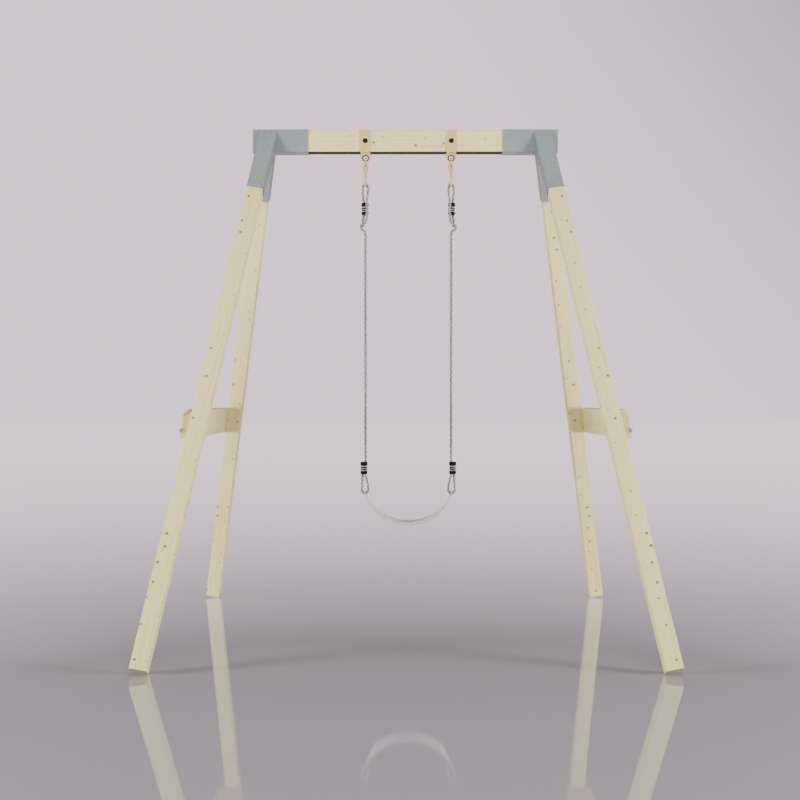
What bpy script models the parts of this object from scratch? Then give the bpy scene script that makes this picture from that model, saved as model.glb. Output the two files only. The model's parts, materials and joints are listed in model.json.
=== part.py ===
"""Timber swing stand with one belt seat on two ropes.

Metres, +Z up, origin on the floor under the middle of the stand. The beam runs along X and the swing moves
along Y. Each end has a leaning side frame: its empty sits under the beam, x across the legs, z up the frame.
"""

from math import cos, pi, radians, sin, sqrt, tan

import bmesh
import bpy
from mathutils import Matrix, Vector

# Clearances
GAP = 0.0003            # between pieces that touch
TIMBER_FIT = 0.0005     # between timber and the steel round it
ROPE_FIT = 0.0008       # between the rope and what holds it

# Beam and the steel corner brackets on its ends
STAND_HEIGHT = 2.083    # floor to the top of the brackets
BEAM_LENGTH = 1.267
BEAM_DEPTH = 0.060
BEAM_HEIGHT = 0.090
TIMBER_ROUND = 0.003
STEEL_WALL = 0.0025
STEEL_ROUND = 0.004
SLEEVE_LENGTH = 0.2295
SOCKET_FROM_END = 0.050     # beam end to the middle of the leg sockets
SOCKET_MOUTH = 0.199        # along the leg, from the apex to the socket's mouth
SOCKET_TOP_DROP = 0.011     # the sockets end this far under the sleeve's top
APEX_DROP = 0.004           # the sockets' inner walls meet this far under the sleeve
SOCKET_LAP = 0.010          # each socket tube is cut off this far past the sleeve's middle
SOCKET_BLANK = 0.160        # its length above the apex before it is trimmed
TRIM_SIZE = 0.600

# Legs and braces
LEG_WIDTH = 0.062
SIDE_LEAN = radians(10.0)
LEG_SPLAY = radians(21.6)
LEG_TOP_CLEAR = 0.003
BRACE_TOP = 0.9195          # floor to the brace's upper edge
BRACE_HEIGHT = 0.110
BRACE_THICKNESS = 0.028
BRACE_OVERHANG = 0.003
BRACE_SCREW_STEP = 0.056    # up the leg, between the two screws of a joint

# Wood screws with a hexagon head on a washer
SCREW_RADIUS = 0.0035
SCREW_BITE = 0.036          # length in the timber behind the fixed piece
SCREW_FLANGE = 0.0082
SCREW_ACROSS_FLATS = 0.010
SCREW_HEAD = 0.005
SCREW_CROWN = 0.14          # how far the chamfer draws in the hexagon
SCREW_CHAMFER = 0.0007
SCREW_POINT = 0.006
SCREW_TIP = 0.0006
BEAM_SCREW_FROM_MOUTH = 0.032
BEAM_SCREW_STEP = 0.056
SOCKET_SCREW_UP = 0.038     # socket's mouth to its screw

# Hangers
HANGER_SPACING = 0.3573
HANGER_SHIFT = 0.0125       # the pair sits this far to +X of the middle
STRAP_WIDTH = 0.040
STRAP_THICKNESS = 0.003
STRAP_ROUND = 0.005
TAB_THICKNESS = 0.004
TAB_RADIUS = 0.0195
EYE_DROP = 0.0215           # beam's underside to the middle of the eye
EYE_RADIUS = 0.0092
EYE_FLARE = 0.002
PIVOT_DROP = 0.0034         # middle of the eye to the axis the swing turns on
BOLT_RADIUS = 0.005
BOLT_HEAD_RADIUS = 0.0105
BOLT_HEAD_HEIGHT = 0.005
BOLT_END = 0.005            # thread past the nut
BOLT_CHAMFER = 0.001
# Share of the head's radius, share of its height
BOLT_DOME = ((0.17, 1.00), (0.57, 0.86), (0.86, 0.54), (1.00, 0.12), (0.96, 0.00))
WASHER_RADIUS = 0.0125
WASHER_THICKNESS = 0.002
NUT_ACROSS_FLATS = 0.017
NUT_HEIGHT = 0.008
NUT_CHAMFER = 0.0008
NUT_CROWN = 0.07            # how far the chamfer draws in the hexagon

# Bow, swivel head and snap hook, heights measured down from the swing's axis
BOW_ROD = 0.0035
BOW_HALF_WIDTH = 0.020
BOW_CORNER = 0.010
HEAD_TOP = 0.0212
HEAD_SIZE = (0.022, 0.050, 0.026)
HEAD_ROUND = 0.004
HEAD_EDGE = 0.0012
BOW_DEPTH_IN_HEAD = 0.008
PIN_DROP = 0.0128           # head's top to its cross pin
PIN_RADIUS = 0.0016
PIN_HEAD_RADIUS = 0.0028
PIN_HEAD_HEIGHT = 0.0012
RIVET_DOME = ((0.29, 1.00), (0.79, 0.75), (1.00, 0.00))     # shares of radius and height
HOOK_ROD = 0.0046
HOOK_HALF_WIDTH = 0.015
HOOK_UPPER_CENTRE = 0.070
HOOK_LOWER_CENTRE = 0.1017
SHANK_TOP = 0.029
GATE_ROD = 0.0036
GATE_LENGTH = 0.018
GATE_PIVOT = 0.0815
GATE_CLEARANCE = 0.0004
GATE_TIP = 0.0004
NOSE_CLEARANCE = 0.0014     # gate's tip to the hook's nose, so that the gate swings past it
CHEEK_THICKNESS = 0.0018
CHEEK_ROUND = 0.0004
CHEEK_ROOT = 0.0079         # cheeks above the gate's pivot
GATE_PIN_RADIUS = 0.0015
GATE_PIN_CHAMFER = 0.0003
GATE_PIN_PROUD = 0.0005

# Ropes and the ribbed clamps on them, heights measured down from the swing's axis
ROPE_DIAMETER = 0.011
CLAMP_HALF_WIDTH = 0.0150
CLAMP_HALF_DEPTH = 0.0125
CLAMP_HEIGHT = 0.052
CLAMP_INNER_CHANNEL = (0.0066, 0.0010)
CLAMP_OPEN_CHANNEL = (-0.0066, -0.0085)
UPPER_CLAMP_TOP = 0.1835
UPPER_CLAMP_OUT = 0.0020    # clamp's middle, outward of the hanger
LOWER_CLAMP_TOP = 1.2644
LOWER_CLAMP_OUT = 0.0066
CLAMP_BANDS = (             # share of the height from the top, share of the full width
    (0.000, 0.88), (0.035, 1.00), (0.305, 1.00), (0.365, 0.86), (0.425, 1.00), (0.480, 1.00), (0.535, 0.86),
    (0.590, 1.00), (0.645, 1.00), (0.700, 0.86), (0.755, 1.00), (0.900, 1.00), (1.000, 0.90))

# A rope from its cut end under the upper clamp, over the hook, down to the seat and back to the lower clamp:
# outward of the hanger, along Y, and down from the swing's axis
ROPE_ROUTE = (
    (0.0086, 0.0010, 0.2840), (0.0104, 0.0010, 0.2590), (0.0086, 0.0010, 0.2390), (0.0086, 0.0010, 0.2096),
    (0.0086, 0.0010, 0.1835), (0.0098, 0.0006, 0.1600), (0.0110, 0.0002, 0.1380), (0.0108, 0.0000, 0.1175),
    (0.0078, 0.0000, 0.1091), (0.0000, 0.0000, 0.1060), (-0.0078, 0.0000, 0.1091), (-0.0108, 0.0000, 0.1175),
    (-0.0102, -0.0020, 0.1380), (-0.0076, -0.0060, 0.1600), (-0.0046, -0.0085, 0.1835), (-0.0046, -0.0085, 0.2096),
    (-0.0046, -0.0085, 0.2380), (-0.0040, -0.0092, 0.2530), (-0.0010, -0.0112, 0.2650), (0.0086, -0.0116, 0.2720),
    (0.0165, -0.0078, 0.2775), (0.0200, 0.0010, 0.2840), (0.0160, 0.0088, 0.2910), (0.0086, 0.0108, 0.2980),
    (0.0022, 0.0074, 0.3060), (0.0000, 0.0018, 0.3180), (0.0000, 0.0000, 0.3380), (0.0000, 0.0000, 0.3700),
    (0.0000, 0.0000, 0.7500), (0.0000, 0.0000, 1.2000), (0.0000, 0.0000, 1.2644), (0.0000, 0.0000, 1.3154),
    (-0.0022, 0.0000, 1.3300), (-0.0068, 0.0000, 1.3480), (-0.0104, 0.0000, 1.3660), (-0.0112, 0.0000, 1.3833),
    (-0.0074, 0.0000, 1.3924), (0.0017, 0.0000, 1.3962), (0.0108, 0.0000, 1.3924), (0.0146, 0.0002, 1.3833),
    (0.0148, 0.0014, 1.3660), (0.0141, 0.0048, 1.3480), (0.0134, 0.0082, 1.3300), (0.0132, 0.0095, 1.3154),
    (0.0132, 0.0095, 1.2720))
ROUTE_STEPS = 24            # steps of the smooth curve between two points of the route
ROPE_STEP = 0.100           # longest step between two points of the tube
ROPE_STRAY = 0.00016        # and the most the smooth route strays from a step

# Belt seat: an elliptical sling with flat ends, which hold its two eyelets
SEAT_AXIS_DROP = 1.3962     # down from the swing's axis to the ropes' lowest points, on which the belt rocks
EYELET_OUT = -0.0007        # eyelet's middle, outward of the hanger
EYELET_UNDER_AXIS = 0.0015
SEAT_SAG = 0.1208
SEAT_FLAT_ANGLE = radians(73.0)     # from here on the belt runs straight
SEAT_END_ANGLE = radians(80.0)      # the eyelets' middles
SEAT_TIP_ANGLE = radians(6.4)
SEAT_TIP_BLUNT = 0.06
SEAT_WIDTH = 0.126
SEAT_END_WIDTH = 0.050
SEAT_TAPER_START = radians(44.0)
SEAT_TAPER_END = radians(74.0)
SEAT_THICKNESS = 0.0080
SEAT_END_THICKNESS = 0.0036         # round the eyelets
SEAT_THIN_START = radians(60.0)
SEAT_THIN_END = radians(72.0)
EYELET_BORE = 0.0104
EYELET_WALL = 0.0010
EYELET_FLANGE = 0.0140
EYELET_LIP = 0.0006

# Worked-out sizes
SLEEVE_DEPTH = BEAM_DEPTH + 2 * (TIMBER_FIT + STEEL_WALL)
SLEEVE_HEIGHT = BEAM_HEIGHT + 2 * (TIMBER_FIT + STEEL_WALL)
SLEEVE_UNDER = STAND_HEIGHT - SLEEVE_HEIGHT
BEAM_MIDDLE = STAND_HEIGHT - SLEEVE_HEIGHT / 2
BEAM_UNDER = BEAM_MIDDLE - BEAM_HEIGHT / 2
SOCKET_WIDTH = LEG_WIDTH + 2 * (TIMBER_FIT + STEEL_WALL)
LEG_OFFSET = SOCKET_WIDTH / 2
EYE_HEIGHT = BEAM_UNDER - EYE_DROP
PIVOT_HEIGHT = EYE_HEIGHT - PIVOT_DROP
OVERCUT = 0.020

LEFT_RIGHT = (("left", -1), ("right", 1))
FRONT_BACK = (("front", -1), ("back", 1))


def clear_scene():
    for thing in list(bpy.data.objects):
        bpy.data.objects.remove(thing, do_unlink=True)


def finish(name, colour, roughness, metallic=0.0):
    material = bpy.data.materials.new(name)
    material.use_nodes = True
    shader = material.node_tree.nodes["Principled BSDF"]
    shader.inputs["Base Color"].default_value = (*colour, 1.0)
    shader.inputs["Roughness"].default_value = roughness
    shader.inputs["Metallic"].default_value = metallic
    return material


def add_empty(name, parent=None, matrix=None):
    empty = bpy.data.objects.new(name, None)
    bpy.context.scene.collection.objects.link(empty)
    empty.parent = parent
    empty.matrix_local = matrix or Matrix()
    return empty


def add_mesh(name, mesh, material, parent=None, matrix=None):
    item = bpy.data.objects.new(name, mesh)
    bpy.context.scene.collection.objects.link(item)
    if material and not mesh.materials:
        mesh.materials.append(material)
    item.parent = parent
    item.matrix_local = matrix or Matrix()
    return item


def loft(name, rings, hollow=False):
    """A closed solid through rings of equal count. A hollow one joins its last ring to its first."""
    work = bmesh.new()
    rows = [[work.verts.new(point) for point in ring] for ring in rings]
    count = len(rows[0])
    for lower, upper in zip(rows, rows[1:] + rows[:1] if hollow else rows[1:]):
        for i in range(count):
            j = (i + 1) % count
            work.faces.new((lower[i], lower[j], upper[j], upper[i]))
    if not hollow:
        work.faces.new(rows[0])
        work.faces.new(rows[-1])
    bmesh.ops.recalc_face_normals(work, faces=work.faces)
    mesh = bpy.data.meshes.new(name)
    work.to_mesh(mesh)
    work.free()
    mesh.shade_smooth()
    mesh.set_sharp_from_angle(angle=radians(32))
    return mesh


def circle_angles(sides):
    return [2 * pi * i / sides for i in range(sides)]


def turned(name, profile, sides=16, hollow=False):
    """A solid of revolution about Z through (radius, height) pairs."""
    angles = circle_angles(sides)
    return loft(name, [[(r * cos(a), r * sin(a), z) for a in angles] for r, z in profile], hollow)


def hexagon_rings(across_flats, sides, levels):
    """Rings of a hexagon about Z, one for each (scale, height) pair."""
    angles = circle_angles(sides)
    radii = [across_flats / 2 / cos((a + pi / 6) % (pi / 3) - pi / 6) for a in angles]
    corners = [(r * cos(a), r * sin(a)) for r, a in zip(radii, angles)]
    return [[(scale * x, scale * y, z) for x, y in corners] for scale, z in levels]


def round_rect(width, height, radius, steps=2):
    """Points round a rectangle with round corners, centred on the origin."""
    points = []
    for cx, cy, start in ((1, 1, 0), (-1, 1, 90), (-1, -1, 180), (1, -1, 270)):
        for i in range(steps + 1):
            a = radians(start + 90 * i / steps)
            points.append((cx * (width / 2 - radius) + radius * cos(a),
                           cy * (height / 2 - radius) + radius * sin(a)))
    return points


def bar(name, width, height, radius, start, end, offset=(0.0, 0.0)):
    """A bar with round long edges, along Z from start to end, its middle at offset."""
    outline = round_rect(width, height, radius)
    return loft(name, [[(x + offset[0], y + offset[1], z) for x, y in outline] for z in (start, end)])


def boolean(target, other, operation="DIFFERENCE"):
    step = target.modifiers.new(other.name, "BOOLEAN")
    step.solver = "MANIFOLD"
    step.operation = operation
    step.object = other
    other.hide_render = True
    other.display_type = "WIRE"


def drill(targets, name, radius, length, parent, matrix, sides=12):
    """A round hole along the matrix's Z, from its origin on, in each target."""
    cutter = add_mesh(name, turned(name, ((radius, 0), (radius, length)), sides), None, parent, matrix)
    for target in targets:
        boolean(target, cutter)
    return cutter


def sweep_rod(name, path, radius, sides=10):
    """A round rod along a path in the YZ plane."""
    points = [Vector((0.0, y, z)) for y, z in path]
    rings = []
    for i, point in enumerate(points):
        ahead = points[min(i + 1, len(points) - 1)]
        behind = points[max(i - 1, 0)]
        normal = (ahead - behind).normalized().cross(Vector((1, 0, 0)))
        rings.append([point + radius * (cos(a) * Vector((1, 0, 0)) + sin(a) * normal)
                      for a in circle_angles(sides)])
    return loft(name, rings)


def arc(centre, radius, start, end, steps):
    """Points on an arc, angles in degrees."""
    angles = [radians(start + (end - start) * i / steps) for i in range(steps + 1)]
    return [(centre[0] + radius * cos(a), centre[1] + radius * sin(a)) for a in angles]


def smooth_route(route, longest, stray):
    """Steps along a Catmull-Rom curve through the route's points, none longer or straying more than given."""
    points = [Vector(p) for p in route]
    points = [2 * points[0] - points[1], *points, 2 * points[-1] - points[-2]]
    dense = []
    for a, b, c, d in zip(points, points[1:], points[2:], points[3:]):
        knots = [0.0]
        for p, q in ((a, b), (b, c), (c, d)):
            knots.append(knots[-1] + sqrt((q - p).length))
        for i in range(ROUTE_STEPS):
            t = knots[1] + (knots[2] - knots[1]) * i / ROUTE_STEPS
            u = [((knots[k + 1] - t) * p + (t - knots[k]) * q) / (knots[k + 1] - knots[k])
                 for k, (p, q) in enumerate(((a, b), (b, c), (c, d)))]
            v = [((knots[k + 2] - t) * u[k] + (t - knots[k]) * u[k + 1]) / (knots[k + 2] - knots[k])
                 for k in (0, 1)]
            dense.append(((knots[2] - t) * v[0] + (t - knots[1]) * v[1]) / (knots[2] - knots[1]))
    dense.append(points[-2])
    picked = [0]
    for i in range(2, len(dense)):
        start = dense[picked[-1]]
        chord = dense[i] - start
        way = chord.normalized()
        off = max((p - start - (p - start).dot(way) * way).length for p in dense[picked[-1] + 1:i])
        if off > stray or chord.length > longest:
            picked.append(i - 1)
    return [dense[i] for i in (*picked, len(dense) - 1)]


def side_frame(name, side):
    """The leaning frame of one end: its origin is under the sleeve, at the middle of the sockets."""
    place = Matrix.Translation((side * (BEAM_LENGTH / 2 - SOCKET_FROM_END), 0, SLEEVE_UNDER))
    return add_empty(name, matrix=place @ Matrix.Rotation(-side * SIDE_LEAN, 4, "Y"))


def leg_frame(name, frame, end):
    """Z up the leg, from the apex where the sockets meet; the leg lies at y = end * LEG_OFFSET."""
    splay = Matrix.Rotation(end * LEG_SPLAY, 4, "X")
    return add_empty(name, frame, Matrix.Translation((0, 0, -APEX_DROP)) @ splay)


def leg_reach():
    """Apex to the leg's square-cut foot, so that its lowest edge touches the floor."""
    start = SLEEVE_UNDER - APEX_DROP * cos(SIDE_LEAN)
    lengths = []
    for x, y in round_rect(LEG_WIDTH, LEG_WIDTH, TIMBER_ROUND):
        rise = x * sin(SIDE_LEAN) + (y + LEG_OFFSET) * sin(LEG_SPLAY) * cos(SIDE_LEAN)
        lengths.append((start + rise) / (cos(SIDE_LEAN) * cos(LEG_SPLAY)))
    return min(lengths)


def leg_top():
    """Apex to the leg's upper end, clear of the sleeve."""
    lift = LEG_WIDTH / 2 * tan(SIDE_LEAN) - APEX_DROP
    return SLEEVE_DEPTH / 2 * sin(LEG_SPLAY) + lift * cos(LEG_SPLAY) + LEG_TOP_CLEAR


def down_the_leg(height):
    """How far down the leg its middle line crosses a height in the side frame."""
    return (LEG_OFFSET * sin(LEG_SPLAY) - APEX_DROP - height) / cos(LEG_SPLAY)


def across_the_frame(down, offset=LEG_OFFSET):
    """Distance from the side frame's middle line of a point on the leg."""
    return offset * cos(LEG_SPLAY) + down * sin(LEG_SPLAY)


def brace_edge():
    """The brace's upper edge, in the side frame."""
    outer = (LEG_WIDTH / 2 + GAP) * sin(SIDE_LEAN)
    return (BRACE_TOP - SLEEVE_UNDER - outer) / cos(SIDE_LEAN)


def build_bracket(word, side, frame, legs, steel):
    """A sleeve for the beam with two leg sockets welded to its flanks, flush under the sleeve's top."""
    label = word + "_corner_bracket"
    middle_x = side * (BEAM_LENGTH / 2 - SOCKET_FROM_END)
    along = Matrix.Rotation(side * pi / 2, 4, "Y")
    place = Matrix.Translation((side * (BEAM_LENGTH / 2 - SLEEVE_LENGTH), 0, BEAM_MIDDLE)) @ along
    outer = bar("sleeve", SLEEVE_HEIGHT, SLEEVE_DEPTH, STEEL_ROUND, 0, SLEEVE_LENGTH)
    bracket = add_mesh(label, outer, steel, matrix=place)
    block = add_mesh(label + "_block", outer.copy(), None, matrix=place)
    ceiling = STAND_HEIGHT - SOCKET_TOP_DROP
    hollow = LEG_WIDTH + 2 * TIMBER_FIT
    channels = []
    for leg_word, end in FRONT_BACK:
        middle = (0, end * LEG_OFFSET)
        tube = bar("socket", SOCKET_WIDTH, SOCKET_WIDTH, STEEL_ROUND, -SOCKET_MOUTH, SOCKET_BLANK, middle)
        core = bar("channel", hollow, hollow, STEEL_ROUND - STEEL_WALL, -SOCKET_MOUTH - OVERCUT, SOCKET_BLANK,
                   middle)
        socket = add_mesh(label + "_" + leg_word + "_socket", tube, None, legs[leg_word])
        channel = add_mesh(label + "_" + leg_word + "_channel", core, None, legs[leg_word])
        far = -end * (TRIM_SIZE / 2 + SOCKET_LAP)
        for solid, height in ((socket, ceiling), (channel, ceiling - STEEL_WALL)):
            for trim_word, y, bottom in (("_lid", 0, height), ("_half", far, BEAM_MIDDLE)):
                trim = bar("trim", TRIM_SIZE, TRIM_SIZE, TIMBER_ROUND, bottom, height + TRIM_SIZE)
                spot = Matrix.Translation((middle_x, y, 0))
                boolean(solid, add_mesh(solid.name + trim_word, trim, None, matrix=spot))
        boolean(bracket, socket, "UNION")
        boolean(channel, block)
        channels.append(channel)
    for channel in channels:
        boolean(bracket, channel)
    hole = bar("sleeve hole", BEAM_HEIGHT + 2 * TIMBER_FIT, BEAM_DEPTH + 2 * TIMBER_FIT,
               STEEL_ROUND - STEEL_WALL, -OVERCUT, SLEEVE_LENGTH + OVERCUT)
    boolean(bracket, add_mesh(label + "_hole", hole, None, matrix=place))
    return bracket


def build_leg(label, holder, end, pine):
    body = bar(label, LEG_WIDTH, LEG_WIDTH, TIMBER_ROUND, -leg_reach(), -leg_top(), (0, end * LEG_OFFSET))
    return add_mesh(label, body, pine, holder)


def build_brace(word, side, frame, pine):
    edge = brace_edge()
    half = across_the_frame(down_the_leg(edge), LEG_OFFSET + LEG_WIDTH / 2) + BRACE_OVERHANG
    middle_x = side * (LEG_WIDTH / 2 + GAP + BRACE_THICKNESS / 2)
    place = Matrix.Translation((middle_x, 0, edge - BRACE_HEIGHT / 2)) @ Matrix.Rotation(-pi / 2, 4, "X")
    body = bar(word + "_brace", BRACE_THICKNESS, BRACE_HEIGHT, TIMBER_ROUND, -half, half)
    return add_mesh(word + "_brace", body, pine, frame, place)


def screw_mesh(name, through):
    """Hexagon head, washer face at z = 0, shank down -Z through the fixed piece and into the timber."""
    sides = 12
    tip = -through - SCREW_BITE
    rings = hexagon_rings(SCREW_ACROSS_FLATS, sides, (
        (1.0 - SCREW_CROWN, SCREW_HEAD), (1.0, SCREW_HEAD - SCREW_CHAMFER), (1.0, 2 * SCREW_CHAMFER)))
    for r, z in ((SCREW_FLANGE - SCREW_CHAMFER, 2 * SCREW_CHAMFER), (SCREW_FLANGE, SCREW_CHAMFER),
                 (SCREW_FLANGE, 0.0), (SCREW_RADIUS, 0.0), (SCREW_RADIUS, tip + SCREW_POINT),
                 (SCREW_TIP, tip)):
        rings.append([(r * cos(a), r * sin(a), z) for a in circle_angles(sides)])
    return loft(name, rings)


def add_screw(name, through, targets, parent, surface, steel):
    """A screw whose washer rests on a surface: the matrix's Z points out of it."""
    seat = surface @ Matrix.Translation((0, 0, GAP))
    screw = add_mesh(name, screw_mesh(name, through), steel, parent, seat)
    down = surface @ Matrix.Translation((0, 0, OVERCUT)) @ Matrix.Rotation(pi, 4, "X")
    depth = through + SCREW_BITE + GAP + OVERCUT
    drill(targets, name + "_hole", SCREW_RADIUS + GAP, depth, parent, down)
    return screw


def build_side(word, side, beam, pine, steel, zinc):
    frame = side_frame(word + "_side_frame", side)
    holders = {leg_word: leg_frame(word + "_" + leg_word + "_holder", frame, end)
               for leg_word, end in FRONT_BACK}
    bracket = build_bracket(word, side, frame, holders, steel)
    brace = build_brace(word, side, frame, pine)
    outward = Matrix.Rotation(side * pi / 2, 4, "Y")
    for leg_word, end in FRONT_BACK:
        label = word + "_" + leg_word
        leg = build_leg(label + "_leg", holders[leg_word], end, pine)
        spot = Matrix.Translation((side * SOCKET_WIDTH / 2, end * LEG_OFFSET, SOCKET_SCREW_UP - SOCKET_MOUTH))
        add_screw(label + "_socket_screw", STEEL_WALL + TIMBER_FIT, (bracket, leg), holders[leg_word],
                  spot @ outward, zinc)
        brace_middle = down_the_leg(brace_edge() - BRACE_HEIGHT / 2)
        for place_word, step in (("upper", -0.5), ("lower", 0.5)):
            down = brace_middle + step * BRACE_SCREW_STEP
            face = LEG_WIDTH / 2 + GAP + BRACE_THICKNESS
            spot = Matrix.Translation((side * face, end * LEG_OFFSET, -down))
            add_screw(label + "_brace_screw_" + place_word, BRACE_THICKNESS + GAP, (brace, leg),
                      holders[leg_word], spot @ outward, zinc)
    back = Matrix.Rotation(-pi / 2, 4, "X")
    for index in (0, 1):
        x = side * (BEAM_LENGTH / 2 - SLEEVE_LENGTH + BEAM_SCREW_FROM_MOUTH + index * BEAM_SCREW_STEP)
        spot = Matrix.Translation((x, SLEEVE_DEPTH / 2, BEAM_MIDDLE))
        add_screw(word + "_beam_screw_" + str(index + 1), STEEL_WALL + TIMBER_FIT, (bracket, beam), None,
                  spot @ back, zinc)


def build_beam(pine):
    body = bar("beam", BEAM_HEIGHT, BEAM_DEPTH, TIMBER_ROUND, -BEAM_LENGTH / 2, BEAM_LENGTH / 2)
    return add_mesh("beam", body, pine, matrix=Matrix.Translation((0, 0, BEAM_MIDDLE)) @ Matrix.Rotation(
        pi / 2, 4, "Y"))


def strap_mesh(name):
    """A U of flat strap round the beam's underside, extruded along X."""
    inner = BEAM_DEPTH / 2 + GAP
    outer = inner + STRAP_THICKNESS
    top = BEAM_UNDER + BEAM_HEIGHT
    floor = BEAM_UNDER - GAP
    inner_round = STRAP_ROUND - STRAP_THICKNESS
    outline = [(-outer, top), *arc((-outer + STRAP_ROUND, floor - STRAP_THICKNESS + STRAP_ROUND), STRAP_ROUND,
                                   180, 270, 3)]
    outline += [*arc((outer - STRAP_ROUND, floor - STRAP_THICKNESS + STRAP_ROUND), STRAP_ROUND, 270, 360, 3),
                (outer, top), (inner, top)]
    outline += arc((inner - inner_round, floor + inner_round), inner_round, 0, -90, 2)
    outline += arc((-inner + inner_round, floor + inner_round), inner_round, 270, 180, 2)
    outline.append((-inner, top))
    return loft(name, [[(x, y, z) for y, z in outline] for x in (-STRAP_WIDTH / 2, STRAP_WIDTH / 2)])


def build_hanger(word, side, beam, zinc, dark):
    x = HANGER_SHIFT + side * HANGER_SPACING / 2
    place = Matrix.Translation((x, 0, 0))
    strap = add_mesh(word + "_hanger_strap", strap_mesh("hanger strap"), zinc, matrix=place)
    weld = BEAM_UNDER - GAP - STRAP_THICKNESS / 2
    tab_outline = [(TAB_RADIUS, weld), *arc((0, EYE_HEIGHT), TAB_RADIUS, 0, -180, 12), (-TAB_RADIUS, weld)]
    half = TAB_THICKNESS / 2
    tab = loft("tab", [[(px, y, pz) for px, pz in tab_outline] for y in (-half, half)])
    boolean(strap, add_mesh(word + "_hanger_tab", tab, None, matrix=place), "UNION")
    eye = turned("eye", ((EYE_RADIUS + EYE_FLARE + half, -2 * half), (EYE_RADIUS + EYE_FLARE, -half),
                         (EYE_RADIUS, -half / 3), (EYE_RADIUS, half / 3), (EYE_RADIUS + EYE_FLARE, half),
                         (EYE_RADIUS + EYE_FLARE + half, 2 * half)), 20)
    boolean(strap, add_mesh(word + "_hanger_eye", eye, None, matrix=Matrix.Translation(
        (x, 0, EYE_HEIGHT)) @ Matrix.Rotation(pi / 2, 4, "X")))
    face = BEAM_DEPTH / 2 + GAP + STRAP_THICKNESS
    forward = Matrix.Translation((x, -face, BEAM_MIDDLE)) @ Matrix.Rotation(pi / 2, 4, "X")
    backward = Matrix.Translation((x, face, BEAM_MIDDLE)) @ Matrix.Rotation(-pi / 2, 4, "X")
    stack = 2 * face + 2 * GAP + WASHER_THICKNESS + GAP + NUT_HEIGHT + BOLT_END
    dome = [(BOLT_HEAD_RADIUS * r, BOLT_HEAD_HEIGHT * z) for r, z in BOLT_DOME]
    bolt = turned("bolt", (*dome, (BOLT_RADIUS, 0), (BOLT_RADIUS, BOLT_CHAMFER - stack),
                           (BOLT_RADIUS - BOLT_CHAMFER, -stack)))
    add_mesh(word + "_hanger_bolt", bolt, dark, matrix=forward @ Matrix.Translation((0, 0, GAP)))
    drill((strap, beam), word + "_hanger_bolt_hole", BOLT_RADIUS + GAP, 2 * face + 2 * OVERCUT, None,
          backward @ Matrix.Translation((0, 0, -2 * face - OVERCUT)), 16)
    bore = BOLT_RADIUS + GAP
    disc = turned("washer", ((WASHER_RADIUS, 0), (WASHER_RADIUS, WASHER_THICKNESS)))
    washer_place = backward @ Matrix.Translation((0, 0, GAP))
    washer = add_mesh(word + "_hanger_washer", disc, zinc, matrix=washer_place)
    drill((washer,), word + "_washer_bore", bore, 4 * WASHER_THICKNESS, None,
          washer_place @ Matrix.Translation((0, 0, -WASHER_THICKNESS)), 16)
    hexagons = hexagon_rings(NUT_ACROSS_FLATS, 24, (
        (1 - NUT_CROWN, 0), (1, NUT_CHAMFER), (1, NUT_HEIGHT - NUT_CHAMFER), (1 - NUT_CROWN, NUT_HEIGHT)))
    nut_place = backward @ Matrix.Translation((0, 0, WASHER_THICKNESS + 2 * GAP))
    nut = add_mesh(word + "_hanger_nut", loft("nut", hexagons), zinc, matrix=nut_place)
    drill((nut,), word + "_nut_bore", bore, NUT_HEIGHT + 2 * OVERCUT, None,
          nut_place @ Matrix.Translation((0, 0, -OVERCUT)), 16)


def hook_path():
    """Snap hook in the YZ plane: front shoulder, over the top, down the back and round to the nose."""
    upper = (0, -HOOK_UPPER_CENTRE)
    lower = (0, -HOOK_LOWER_CENTRE)
    nose = GATE_PIVOT + GATE_LENGTH + GATE_ROD + NOSE_CLEARANCE
    past = (nose - HOOK_LOWER_CENTRE) / HOOK_HALF_WIDTH
    path = [(-HOOK_HALF_WIDTH, -GATE_PIVOT + GATE_ROD + GATE_CLEARANCE)]
    path += arc(upper, HOOK_HALF_WIDTH, 180, 0, 8)
    path += arc(lower, HOOK_HALF_WIDTH, 0, -180 + past * 180 / pi, 9)
    return path


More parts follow.
